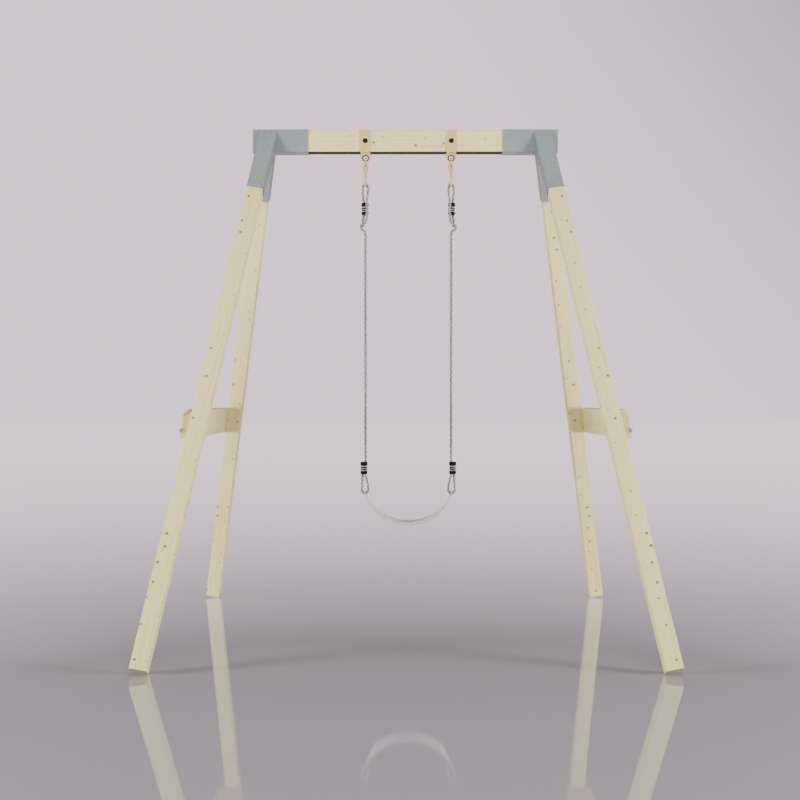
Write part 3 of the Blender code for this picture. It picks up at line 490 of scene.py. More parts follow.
def timber_group():
    """Year rings round a pith that runs along Z, fibres, and knots that grow out from the pith."""
    tree, n, given, out = group_tree(
        "Sawn Timber",
        (("Vector", "Vector", None), ("Pith", "Vector", (0.01, 0.02, 0.0)), ("Ring Width", "Float", 0.004),
         ("Knot Spacing", "Float", 0.1), ("Knot Radius", "Float", 0.006)),
        (("Late Wood", "Float"), ("Fibre", "Float"), ("Knot", "Float"), ("Knot Ring", "Float"),
         ("Cloud", "Float")))
    knot_chart_radius = 0.080
    drift = n.vector("ADD", n.vector("MULTIPLY", given["Vector"], (5.0, 5.0, 1.1)), given["Pith"])
    wander = n.add("ShaderNodeTexNoise", {"Vector": drift, "Scale": 1.0, "Detail": 2.0}).outputs["Color"]
    wander = n.vector("SUBTRACT", wander, (0.5, 0.5, 0.5))
    wander = n.vector("MULTIPLY", wander, (0.022, 0.022, 0.0))
    spot = n.vector("ADD", n.vector("SUBTRACT", given["Vector"], given["Pith"]), wander)
    parts = n.add("ShaderNodeSeparateXYZ", {"Vector": spot}).outputs
    squares = n.math("ADD", n.math("MULTIPLY", parts["X"], parts["X"]), n.math("MULTIPLY", parts["Y"], parts["Y"]))
    radius = n.math("SQRT", squares)
    angle = n.math("ARCTAN2", parts["Y"], parts["X"])
    round_way = n.math("MULTIPLY", angle, knot_chart_radius)
    chart = n.add("ShaderNodeCombineXYZ", {"X": round_way, "Y": parts["Z"], "Z": 0.0}).outputs[0]
    chart = n.vector("DIVIDE", chart, n.add("ShaderNodeCombineXYZ", {
        "X": given["Knot Spacing"], "Y": given["Knot Spacing"], "Z": 1.0}).outputs[0])
    fine = {"Vector": given["Vector"], "Scale": 190.0, "Detail": 2.0}
    ragged = n.add("ShaderNodeTexNoise", fine).outputs["Color"]
    ragged = n.vector("MULTIPLY", n.vector("SUBTRACT", ragged, (0.5, 0.5, 0.5)), (0.018, 0.018, 0.0))
    cells = n.add("ShaderNodeTexVoronoi", {"Vector": n.vector("ADD", chart, ragged), "Scale": 1.0,
                                           "Randomness": 1.0}, voronoi_dimensions="2D", feature="F1")
    lot = n.add("ShaderNodeSeparateColor", {"Color": cells.outputs["Color"]}).outputs
    away = n.math("MULTIPLY", cells.outputs["Distance"], given["Knot Spacing"])
    grown = n.math("MULTIPLY", n.ramp(lot["Red"], 0.15, 1.0, 0.22, 1.0), given["Knot Radius"])
    grown = n.math("MULTIPLY", grown, n.math("GREATER_THAN", lot["Green"], 0.18))
    near = n.math("DIVIDE", away, n.math("ADD", grown, 0.00001))
    knot = n.ramp(near, 0.86, 1.06, 1.0, 0.0)
    rim = n.math("MULTIPLY", n.ramp(near, 0.45, 0.95), knot)
    swirl = n.math("MULTIPLY", n.ramp(near, 0.6, 3.2, 1.0, 0.0), grown)
    rings = n.math("ADD", radius, n.math("MULTIPLY", swirl, 0.85))
    rings = n.math("DIVIDE", rings, given["Ring Width"])
    years = n.add("ShaderNodeCombineXYZ", {"X": n.math("MULTIPLY", rings, 0.35), "Y": 0.3, "Z": 0.7}).outputs[0]
    uneven = n.noise(years, 1.0, 1.0)
    rings = n.math("ADD", rings, n.math("MULTIPLY", uneven, 1.6))
    saw = n.math("FRACT", rings)
    rise = n.ramp(saw, 0.25, 0.90)
    fall = n.ramp(saw, 0.90, 1.0, 1.0, 0.0)
    late = n.math("MULTIPLY", rise, fall)
    strands = n.vector("MULTIPLY", given["Vector"], (900.0, 900.0, 22.0))
    fibre = n.noise(strands, 1.0, 4.0, 0.6)
    cloud = n.noise(n.vector("MULTIPLY", given["Vector"], (16.0, 16.0, 2.2)), 1.0, 3.0)
    results = {"Late Wood": late, "Fibre": fibre, "Knot": knot, "Knot Ring": rim, "Cloud": cloud}
    for key, value in results.items():
        n.set(out[key], value)
    return tree


def wear_group():
    """Edges rubbed through, broken up by noise, and painted shade in hollows."""
    tree, n, given, out = group_tree(
        "Edge Wear", (("Vector", "Vector", None), ("Amount", "Float", 0.3), ("Scale", "Float", 60.0)),
        (("Edge", "Float"), ("Shaded Hollow", "Float")))
    sharp = n.add("ShaderNodeNewGeometry").outputs["Pointiness"]
    patches = n.noise(given["Vector"], given["Scale"], 4.0, 0.6)
    edge = n.ramp(sharp, 0.52, 0.60)
    edge = n.math("MULTIPLY", edge, n.ramp(patches, 0.35, 0.62))
    n.set(out["Edge"], n.math("MULTIPLY", edge, given["Amount"], clamp=True))
    # Painted shade: a mask for the hollows, which the materials darken.
    n.set(out["Shaded Hollow"], n.ramp(sharp, 0.49, 0.44))
    return tree


def dust_group():
    """Fine specks and a faint settled film on upward faces."""
    tree, n, given, out = group_tree(
        "Settled Dust", (("Vector", "Vector", None), ("Amount", "Float", 0.2)),
        (("Dust", "Float"), ("Specks", "Float")))
    up = n.facing_up()
    film = n.noise(given["Vector"], 22.0, 4.0, 0.6)
    dust = n.math("MULTIPLY", n.ramp(up, 0.35, 1.0), n.ramp(film, 0.30, 0.75))
    n.set(out["Dust"], n.math("MULTIPLY", dust, given["Amount"]))
    n.set(out["Specks"], n.ramp(n.noise(given["Vector"], 900.0, 1.0), 0.66, 0.74))
    return tree


GROUP_MAKERS = {"timber": timber_group, "wear": wear_group, "dust": dust_group}
GROUPS = {}


def shared(name):
    """A node group that several materials use, built the first time it is asked for."""
    if name not in GROUPS:
        GROUPS[name] = GROUP_MAKERS[name]()
    return GROUPS[name]


def begin(name):
    """A material with its shader, short ways to its nodes, and object coordinates."""
    material = bpy.data.materials.new(name)
    material.use_nodes = True
    nodes = Nodes(material.node_tree)
    shader = material.node_tree.nodes["Principled BSDF"]
    where = nodes.add("ShaderNodeTexCoord").outputs["Object"]
    return material, nodes, shader, where


def place_group(nodes, name, inputs):
    node = nodes.add("ShaderNodeGroup")
    node.node_tree = shared(name)
    for key, value in inputs.items():
        nodes.set(node.inputs[key], value)
    return node.outputs


def solid(rgb, shade=1.0):
    """A colour for a socket, made lighter or darker by a factor."""
    return (*(min(c * shade, 1.0) for c in rgb), 1.0)


def timber_material(name, settings, pith, tone=1.0, underside_shade=0.0):
    """Pale softwood with its pith at the given offset; its +X face, a beam's underside, can be darkened to near black
    as painted shade.
    """
    material, n, shader, where = begin(name)
    wood = place_group(n, "timber", {"Vector": where, "Pith": (*pith, 0.0), "Ring Width": settings.ring_width,
                                     "Knot Spacing": settings.knot_spacing, "Knot Radius": settings.knot_radius})
    dust = place_group(n, "dust", {"Vector": where, "Amount": 0.10})
    wear = place_group(n, "wear", {"Vector": where, "Amount": 0.6, "Scale": 90.0})
    pale = solid(settings.pale, tone)
    dark = solid(settings.dark, tone)
    late = n.math("MULTIPLY", wood["Late Wood"], n.ramp(wood["Cloud"], 0.30, 0.72, 0.22, 0.62))
    base = n.mix(late, pale, dark)
    base = n.mix(n.ramp(wood["Cloud"], 0.42, 0.80, 0.0, 0.30), base, solid((0.730, 0.600, 0.340), tone))
    base = n.mix(n.ramp(wood["Fibre"], 0.35, 0.75, 0.0, 0.22), base, solid(settings.dark, 0.72))
    knot_colour = n.mix(wood["Knot Ring"], solid((0.200, 0.105, 0.050)), solid(settings.knot))
    base = n.mix(n.math("MULTIPLY", wood["Knot"], 0.92), base, knot_colour)
    end = n.ramp(n.math("ABSOLUTE", n.facing("Z")), 0.70, 0.90)
    base = n.mix(n.math("MULTIPLY", end, 0.45), base, solid(settings.dark, 0.70))
    base = n.mix(wear["Edge"], base, solid((0.800, 0.720, 0.540)))
    base = n.mix(dust["Dust"], base, solid((0.620, 0.600, 0.560)))
    shader.inputs["Specular IOR Level"].default_value = 0.35
    # Painted shade: the beam's underside goes near black, with a lower specular level, where only shade falls.
    if underside_shade:
        underside_shade_mask = n.math("MULTIPLY", n.ramp(n.facing("X"), 0.80, 0.95), underside_shade)
        base = n.mix(underside_shade_mask, base, solid((0.006, 0.005, 0.004)))
        n.set(shader.inputs["Specular IOR Level"], n.math("MULTIPLY", n.math("SUBTRACT", 1.0, underside_shade_mask), 0.5))
    n.set(shader.inputs["Base Color"], base)
    rough = n.math("ADD", n.ramp(wood["Fibre"], 0.3, 0.8, 0.52, 0.70), n.math("MULTIPLY", wood["Knot"], -0.14))
    n.set(shader.inputs["Roughness"], rough)
    relief = n.math("ADD", n.math("MULTIPLY", wood["Fibre"], 0.55), n.math("MULTIPLY", wood["Late Wood"], 0.45))
    relief = n.math("ADD", relief, n.math("MULTIPLY", wood["Knot"], 0.5))
    n.set(shader.inputs["Normal"], n.bump(relief, 0.00035, 0.55))
    return material


def coated_material(settings):
    """Grey powder coat with orange peel, faint clouding, rubbed edges and painted shade at the socket mouths."""
    material, n, shader, where = begin("grey powder coat")
    wear = place_group(n, "wear", {"Vector": where, "Amount": settings.wear, "Scale": 120.0})
    dust = place_group(n, "dust", {"Vector": where, "Amount": 0.16})
    cloud = n.noise(where, 9.0, 4.0, 0.6)
    base = n.mix(n.ramp(cloud, 0.3, 0.7), solid(settings.bracket, 0.93),
                 solid(settings.bracket, 1.06))
    base = n.mix(n.math("MULTIPLY", dust["Specks"], 0.10), base, solid(settings.bracket, 0.6))
    # Painted shade: hollows darkened.
    base = n.mix(n.math("MULTIPLY", wear["Shaded Hollow"], 0.35), base, solid(settings.bracket, 0.45))
    base = n.mix(dust["Dust"], base, solid((0.560, 0.550, 0.530)))
    base = n.mix(wear["Edge"], base, solid((0.620, 0.620, 0.620)))
    up = n.facing_up()
    # Painted shade: faces turned steeply but not straight down, at the socket mouths, go near black.
    painted_mouth_shade = n.math("MULTIPLY", n.ramp(up, -0.82, -0.88), n.ramp(up, -0.985, -0.95))
    base = n.mix(n.math("MULTIPLY", painted_mouth_shade, 0.95), base, solid((0.015, 0.015, 0.016)))
    n.set(shader.inputs["Base Color"], base)
    n.set(shader.inputs["Metallic"], n.math("MULTIPLY", wear["Edge"], 0.9))
    n.set(shader.inputs["Roughness"], n.ramp(n.noise(where, 45.0, 3.0), 0.3, 0.7, 0.34, 0.46))
    peel = n.noise(where, 1100.0, 2.0, 0.5)
    n.set(shader.inputs["Normal"], n.bump(peel, 0.00012, 0.5))
    return material


def plated_material(name, rgb, tints, settings, rough=(0.24, 0.40), eye=None):
    """Zinc plate: patches of tint, brushed by handling, and painted shade round an eye whose middle is given."""
    material, n, shader, where = begin(name)
    wear = place_group(n, "wear", {"Vector": where, "Amount": settings.wear, "Scale": 260.0})
    film = n.noise(where, 85.0, 3.0, 0.55)
    base = n.mix(n.ramp(film, 0.30, 0.52), solid(tints[0]), solid(rgb))
    base = n.mix(n.ramp(film, 0.55, 0.78), base, solid(tints[1]))
    # Painted shade: hollows darkened.
    base = n.mix(n.math("MULTIPLY", wear["Shaded Hollow"], 0.6), base, solid(rgb, 0.35))
    base = n.mix(wear["Edge"], base, solid(rgb, 1.12))
    # Painted shade: a near-black disc round the eye, where the bow passes through.
    if eye:
        away = n.vector("MULTIPLY", n.vector("SUBTRACT", where, eye), (1.0, 0.0, 1.0))
        base = n.mix(n.ramp(n.size(away), 0.0150, 0.0136, 0.0, 0.93), base, solid((0.035, 0.030, 0.024)))
    n.set(shader.inputs["Base Color"], base)
    shader.inputs["Metallic"].default_value = 0.50
    n.set(shader.inputs["Roughness"], n.ramp(n.noise(where, 210.0, 4.0, 0.65), 0.3, 0.7, *rough))
    n.set(shader.inputs["Normal"], n.bump(n.noise(where, 700.0, 3.0, 0.6), 0.00008, 0.5))
    return material


def dark_steel_material(settings):
    """Blackened steel with bare metal showing at the edges."""
    material, n, shader, where = begin("blackened steel")
    wear = place_group(n, "wear", {"Vector": where, "Amount": settings.wear, "Scale": 300.0})
    cloud = n.noise(where, 140.0, 3.0)
    base = n.mix(n.ramp(cloud, 0.3, 0.7), solid(settings.dark), solid(settings.dark, 2.4))
    base = n.mix(wear["Edge"], base, solid((0.300, 0.280, 0.250)))
    n.set(shader.inputs["Base Color"], base)
    shader.inputs["Metallic"].default_value = 0.7
    n.set(shader.inputs["Roughness"], n.ramp(cloud, 0.3, 0.7, 0.30, 0.50))
    n.set(shader.inputs["Normal"], n.bump(n.noise(where, 900.0, 2.0), 0.00006, 0.5))
    return material


def clamp_material(settings):
    """Moulded black plastic with a fine grain, scuffed ribs and pale dust packed into its grooves."""
    material, n, shader, where = begin("moulded black plastic")
    wear = place_group(n, "wear", {"Vector": where, "Amount": 0.5, "Scale": 240.0})
    dust = place_group(n, "dust", {"Vector": where, "Amount": 0.10})
    base = n.mix(wear["Edge"], solid(settings.clamp), solid((0.030, 0.030, 0.032)))
    base = n.mix(dust["Dust"], base, solid((0.120, 0.115, 0.110)))
    away = n.size(n.vector("MULTIPLY", where, (1.0, 1 / CLAMP_DEPTH_SHARE, 0.0)))
    groove = n.math("MULTIPLY", n.ramp(away, 0.0124, 0.0118), n.ramp(away, 0.0098, 0.0102))
    groove = n.math("MULTIPLY", groove, n.ramp(n.math("ABSOLUTE", n.facing("Z")), 0.6, 0.3))
    base = n.mix(n.math("MULTIPLY", groove, 0.9), base, solid((0.380, 0.360, 0.370)))
    n.set(shader.inputs["Base Color"], base)
    n.set(shader.inputs["Roughness"], n.ramp(n.noise(where, 160.0, 3.0), 0.3, 0.7, 0.40, 0.56))
    n.set(shader.inputs["Normal"], n.bump(n.noise(where, 2400.0, 2.0, 0.6), 0.00006, 0.6))
    shader.inputs["Specular IOR Level"].default_value = 0.12
    return material


def rope_material(settings):
    """Twisted yarns, light and dark side by side, with painted shade between the yarns and where the strands meet."""
    material, n, shader, where = begin("twisted yarn")
    yarns_round, yarns_per_metre = 7.0, 150.0
    marks = n.add("ShaderNodeUVMap", uv_map="length and turn").outputs["UV"]
    along, turn = n.part(marks, "X"), n.part(marks, "Y")
    winding = n.math("ADD", n.math("MULTIPLY", turn, yarns_round), n.math("MULTIPLY", along, yarns_per_metre))
    yarn = n.math("FRACT", winding)
    bulge = n.math("SINE", n.math("MULTIPLY", yarn, pi))
    which = n.math("FRACT", n.math("MULTIPLY", n.math("FLOOR", winding), 0.381))
    fuzz = n.noise(where, 1500.0, 3.0, 0.7)
    outward = n.math("COSINE", n.math("MULTIPLY", turn, 2 * pi))
    base = n.mix(n.ramp(which, 0.25, 0.75), solid(settings.light), solid(settings.dark))
    # Painted shade along the edges of each yarn.
    base = n.mix(n.ramp(bulge, 0.0, 0.6, 0.65, 0.0), base, solid(settings.dark, 0.35))
    base = n.mix(n.ramp(fuzz, 0.5, 0.8, 0.0, 0.5), base, solid(settings.light, 1.5))
    base = n.mix(n.ramp(n.noise(where, 30.0, 3.0), 0.4, 0.8, 0.0, 0.25), base, solid((0.300, 0.270, 0.240)))
    # Painted shade on the strand faces that turn inward, where the strands meet.
    base = n.mix(n.ramp(outward, 0.30, -0.30, 0.0, 0.85), base, solid(settings.dark, 0.16))
    n.set(shader.inputs["Base Color"], base)
    shader.inputs["Roughness"].default_value = 0.82
    shader.inputs["Specular IOR Level"].default_value = 0.25
    shader.inputs["Sheen Weight"].default_value = 0.35
    shader.inputs["Sheen Roughness"].default_value = 0.4
    relief = n.math("ADD", bulge, n.math("MULTIPLY", fuzz, 0.35))
    n.set(shader.inputs["Normal"], n.bump(relief, 0.00045, 0.9))
    return material


def belt_material(settings):
    """Soft moulded plastic that light soaks into, with a fine grain and painted shade on its side faces."""
    material, n, shader, where = begin("soft pink plastic")
    wear = place_group(n, "wear", {"Vector": where, "Amount": 0.25, "Scale": 70.0})
    dust = place_group(n, "dust", {"Vector": where, "Amount": 0.10})
    cloud = n.noise(where, 14.0, 4.0, 0.6)
    base = n.mix(n.ramp(cloud, 0.3, 0.7), solid(settings.colour, 0.96),
                 solid(settings.colour, 1.05))
    base = n.mix(n.math("MULTIPLY", dust["Specks"], 0.10), base, solid(settings.colour, 0.75))
    base = n.mix(wear["Edge"], base, solid((0.900, 0.740, 0.780)))
    # Painted shade: the side faces, across Y, take the darker edge colour.
    base = n.mix(n.ramp(n.math("ABSOLUTE", n.facing("Y")), 0.35, 0.80, 0.0, 0.90), base, solid(settings.edge))
    base = n.mix(dust["Dust"], base, solid((0.700, 0.660, 0.640)))
    n.set(shader.inputs["Base Color"], base)
    n.set(shader.inputs["Roughness"], n.ramp(n.noise(where, 60.0, 3.0), 0.3, 0.7, 0.40, 0.54))
    shader.inputs["Subsurface Weight"].default_value = 0.30
    shader.inputs["Subsurface Scale"].default_value = 0.004
    shader.inputs["Coat Weight"].default_value = 0.08
    grain = n.add("ShaderNodeTexVoronoi", {"Vector": where, "Scale": 420.0}, feature="SMOOTH_F1").outputs["Distance"]
    n.set(shader.inputs["Normal"], n.bump(grain, 0.00016, 0.5))
    return material


# ---------------------------------------------------------------- pieces

def side_turn(side):
    return Matrix.Rotation(-side * SIDE_LEAN, 4, "Y")


def bar_mesh(name, size, arris, end_arris):
    """A planed bar along Z with round long edges and lightly bevelled ends."""
    width, depth, height = size
    rings = []
    steps = 3
    for i in range(steps + 1):
        a = pi / 2 * i / steps
        rings.append((end_arris * (1 - sin(a)), -height / 2 + end_arris * (1 - cos(a))))
    rings += [(inset, -z) for inset, z in reversed(rings)]
    skins = [[(x, y, z) for x, y in round_rect(width - 2 * inset, depth - 2 * inset, arris - inset)]
             for inset, z in rings]
    return loft(name, skins, 24)


class SWING_OT_timber(bpy.types.Operator):
    """Build the beam, the four legs and the two braces"""
    bl_idname = "swing.timber"
    bl_label = "Timber"

    def execute(self, context):
        settings = context.scene.swing_timber
        jobs = [("beam", Matrix.Rotation(pi / 2, 4, "Y"), (0.020, 0.052), 1.0)]
        for word, side in SIDES:
            for end_word, end in ENDS:
                turn = side_turn(side) @ Matrix.Rotation(end * LEG_SPLAY, 4, "X")
                pith = (0.014 * side - 0.006 * end, 0.047 + 0.004 * end * side)
                jobs.append((word + "_" + end_word + "_leg", turn, pith, 1.0 if end < 0 else 0.97))
            jobs.append((word + "_brace", side_turn(side) @ Matrix.Rotation(-pi / 2, 4, "X"),
                         (0.052 * side, 0.012), 0.95))
        for node, turn, pith, tone in jobs:
            place, size = snug(node, turn)
            # Only the beam gets painted shade, near black, on its underside.
            material = timber_material("softwood " + node.replace("_", " "), settings, pith, tone,
                                       0.94 if node == "beam" else 0.0)
            piece = put("timber_" + node, bar_mesh(node, size, settings.arris, settings.end_arris), material, "stand",
                        place, (node,))
            weight_normals(piece)
        return {"FINISHED"}


class SWING_OT_brackets(bpy.types.Operator):
    """Build the two welded steel corner brackets"""
    bl_idname = "swing.brackets"
    bl_label = "Corner brackets"

    def execute(self, context):
        settings = context.scene.swing_metal
        material = coated_material(settings)
        for word, _ in SIDES:
            refined(word + "_corner_bracket", "steel_" + word + "_corner", material, "stand",
                    settings.bevel)
        return {"FINISHED"}


def long_axis(node):
    """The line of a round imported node: its Z runs to the end with the larger head, from that head's top."""
    points = node_points(node)
    middle = sum(points, Vector()) / len(points)
    way = Vector((0.3, 0.4, 0.5))
    for _ in range(60):
        way = sum(((p - middle).dot(way) * (p - middle) for p in points), Vector()).normalized()
    runs = [(p - middle).dot(way) for p in points]
    spread = [((p - middle) - run * way).length for p, run in zip(points, runs)]
    if runs[spread.index(max(spread))] < 0:
        way.negate()
        runs = [-run for run in runs]
    top = middle + max(runs) * way
    return Matrix.Translation(top) @ way.to_track_quat("Z", "Y").to_matrix().to_4x4(), max(runs) - min(runs)


def hexagon(angle, across_flats):
    return across_flats / 2 / cos((angle + pi / 6) % (pi / 3) - pi / 6)


def hexagon_rings(across_flats, levels, angles):
    """Rings of a hexagon with its corners turned down to a share of its half width: (height, share)."""
    half = across_flats / 2
    rings = []
    for z, limit in levels:
        rings.append(ring([min(hexagon(a, across_flats), half * limit) for a in angles], angles, z))
    return rings


def screw_head_rings(across_flats, flange, head, angles):
    """Hexagon with a turned crown and a dished washer face, from the crown down to its underside at 0."""
    uncut = 2.0
    crown = ((1.00, 0.30), (1.00, 0.74), (0.985, 0.90), (0.95, 0.985), (0.90, 1.03), (0.82, 1.09), (0.75, uncut),
             (0.40, uncut))
    rings = hexagon_rings(across_flats, [(level * head, limit) for level, limit in crown], angles)
    for blend, level in ((0.35, 0.31), (0.75, 0.25), (1.0, 0.19)):
        radii = [(1 - blend) * hexagon(a, across_flats) + blend * flange * 0.96 for a in angles]
        rings.append(ring(radii, angles, head * level))
    for r, z in ((flange, 0.0006), (flange, 0.0002), (flange - 0.0003, 0.0)):
        rings.append(ring([r] * len(angles), angles, z))
    return rings


def thread_profile(radius, start, end, pitch, depth):
    """Ridges down a shank as a profile, from start down to end."""
    count = max(int((start - end) / pitch), 1)
    profile = []
    for i in range(count):
        z = start - i * pitch
        profile += [(radius - depth, z), (radius, z - pitch * 0.35), (radius, z - pitch * 0.5)]
    return profile


class SWING_OT_fixings(bpy.types.Operator):
    """Build the wood screws, hanger bolts, washers and nuts"""
    bl_idname = "swing.fixings"
    bl_label = "Screws, bolts and nuts"

    bolt = 0.005
    bore = 0.0053

    def execute(self, context):
        settings = context.scene.swing_metal
        tints = ((0.560, 0.585, 0.610), (0.680, 0.660, 0.620))
        bright = plated_material("bright zinc plate", settings.bright, tints, settings)
        yellow = zinc_material(settings)
        dark = dark_steel_material(settings)
        for node in frame["nodes"]:
            if "screw" in node:
                self.screw(node, bright)
        for word, _ in SIDES:
            self.hanger_bolt(word, dark)
            self.washer(word, yellow)
            self.nut(word, yellow)
        return {"FINISHED"}

    def screw(self, node, material):
        across_flats, flange, head, shank = 0.010, 0.0082, 0.005, 0.0035
        plain_share, pitch, thread_depth, point = 0.4, 0.0026, 0.0007, 0.006
        place, reach = long_axis(node)
        angles = circle_angles(72)
        rings = screw_head_rings(across_flats, flange, head, angles)
        profile = [(shank, 0.0), (shank, -plain_share * reach)]
        profile += thread_profile(shank, -plain_share * reach, head - reach + point, pitch, thread_depth)
        for r, z in profile + [(0.0004, head - reach)]:
            rings.append(ring([r] * len(angles), angles, z))
        put("fixing_" + node, loft(node, rings), material, "stand", place @ Matrix.Translation((0, 0, -head)),
            (node,))

    def hanger_bolt(self, word, material):
        node = word + "_hanger_bolt"
        place, reach = long_axis(node)
        dome, rim, bolt = 0.005, 0.0105, self.bolt
        profile = [(0.0003, dome), (0.0028, dome - 0.0001), (0.0056, dome - 0.0007), (0.0080, dome - 0.0018),
                   (0.0096, dome - 0.0031), (rim, dome - 0.0043), (rim, 0.0002), (rim - 0.0003, 0.0), (bolt, 0.0),
                   (bolt, -0.55 * reach)]
        profile += thread_profile(bolt, -0.56 * reach, dome - reach + 0.0016, 0.0015, 0.0007)
        tip = dome - reach
        profile += [(bolt - 0.001, tip + 0.0002), (bolt - 0.0014, tip), (0.0003, tip)]
        put("fixing_" + node, turned(node, profile), material, "stand",
            place @ Matrix.Translation((0, 0, -dome)), (node,))

    def washer(self, word, material):
        low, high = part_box(word + "_hanger_washer")
        outer, half, bore = (high[0] - low[0]) / 2, (high[1] - low[1]) / 2, self.bore
        profile = [(bore, -half + 0.0002), (bore + 0.0002, -half), (outer - 0.0003, -half), (outer, -half + 0.0003),
                   (outer, half - 0.0005), (outer - 0.0005, half), (bore + 0.0002, half), (bore, half - 0.0002)]
        self.on_bolt(word, "washer", turned("washer", profile, closed=True), material)

    def nut(self, word, material):
        low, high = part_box(word + "_hanger_nut")
        flats, tall, bore = high[0] - low[0], high[1] - low[1], self.bore
        angles = circle_angles(72)
        levels = ((-0.5, 0.97), (-0.46, 1.04), (-0.38, 1.2), (0.38, 1.2), (0.46, 1.04), (0.5, 0.97))
        rings = hexagon_rings(flats, [(tall * level, limit) for level, limit in levels], angles)
        for r, level in ((bore + 0.0006, 0.5), (bore, 0.44), (bore, -0.44), (bore + 0.0006, -0.5)):
            rings.append(ring([r] * len(angles), angles, tall * level))
        self.on_bolt(word, "nut", loft("nut", rings, closed=True), material)

    def on_bolt(self, word, kind, mesh, material):
        """A washer or nut on the hanger's bolt, which runs along Y."""
        node = word + "_hanger_" + kind
        put("fixing_" + word + "_" + kind, mesh, material, "stand",
            Matrix.Translation(middle_of(node)) @ Matrix.Rotation(-pi / 2, 4, "X"), (node,))


YELLOW_ZINC = {}


def zinc_material(settings, word="", eye=None):
    """The hangers' yellow plate, shared by every piece that has no eye of its own."""
    if word not in YELLOW_ZINC:
        tints = ((0.900, 0.620, 0.220), (0.930, 0.760, 0.300))
        name = ("yellow zinc plate " + word).strip()
        YELLOW_ZINC[word] = plated_material(name, settings.zinc, tints, settings, (0.26, 0.42), eye)
    return YELLOW_ZINC[word]


class SWING_OT_straps(bpy.types.Operator):
    """Build the two hanger straps round the beam"""
    bl_idname = "swing.straps"
    bl_label = "Hanger straps"

    def execute(self, context):
        settings = context.scene.swing_metal
        for word, _ in SIDES:
            # The eye's middle, round which the strap's plate gets painted shade.
            eye = (GATE_AXES[word].x, 0.0, SWING_AXIS.z + EYE_RISE)
            refined(word + "_hanger_strap", "steel_" + word + "_strap", zinc_material(settings, word + " strap", eye),
                    "stand", 0.0004)
        return {"FINISHED"}


def hook_line(word, gate):
    """The snap hook's rod, from its front shoulder over the top, down the back and round to the nose."""
    low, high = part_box(word + "_snap_hook")
    rod = 0.0046
    play = 0.0002
    half = high[1] - rod - SWING_AXIS.y
    lower = low[2] + rod + half
    upper = SWING_AXIS.z - HOOK_CROWN_DROP
    shoulder_gap, nose_gap = 0.0005, 0.0015
    shoulder = gate.z + GATE_ROD + shoulder_gap
    nose = gate.z - GATE_LENGTH - GATE_ROD - nose_gap
    path = [(-half, shoulder), (-half, (shoulder + upper) / 2)]
    path += arc((0, upper), half, 180, 0, 28)
    path += [(half, (upper + lower) / 2)]
    path += arc((0, lower), half, 0, -180 - (nose - lower) / half * 180 / pi, 30)
    points = [Vector((gate.x, y, z)) for y, z in path]
    run = travel(points)
    radii = []
    for s in run:
        along = s / run[-1]
        swell = 0.0005 * max(0.0, 1 - abs(along - 0.70) / 0.16)
        tip = 0.0007 * max(0.0, (along - 0.93) / 0.07)
        radii.append(rod - play + swell - tip)
    return points, radii


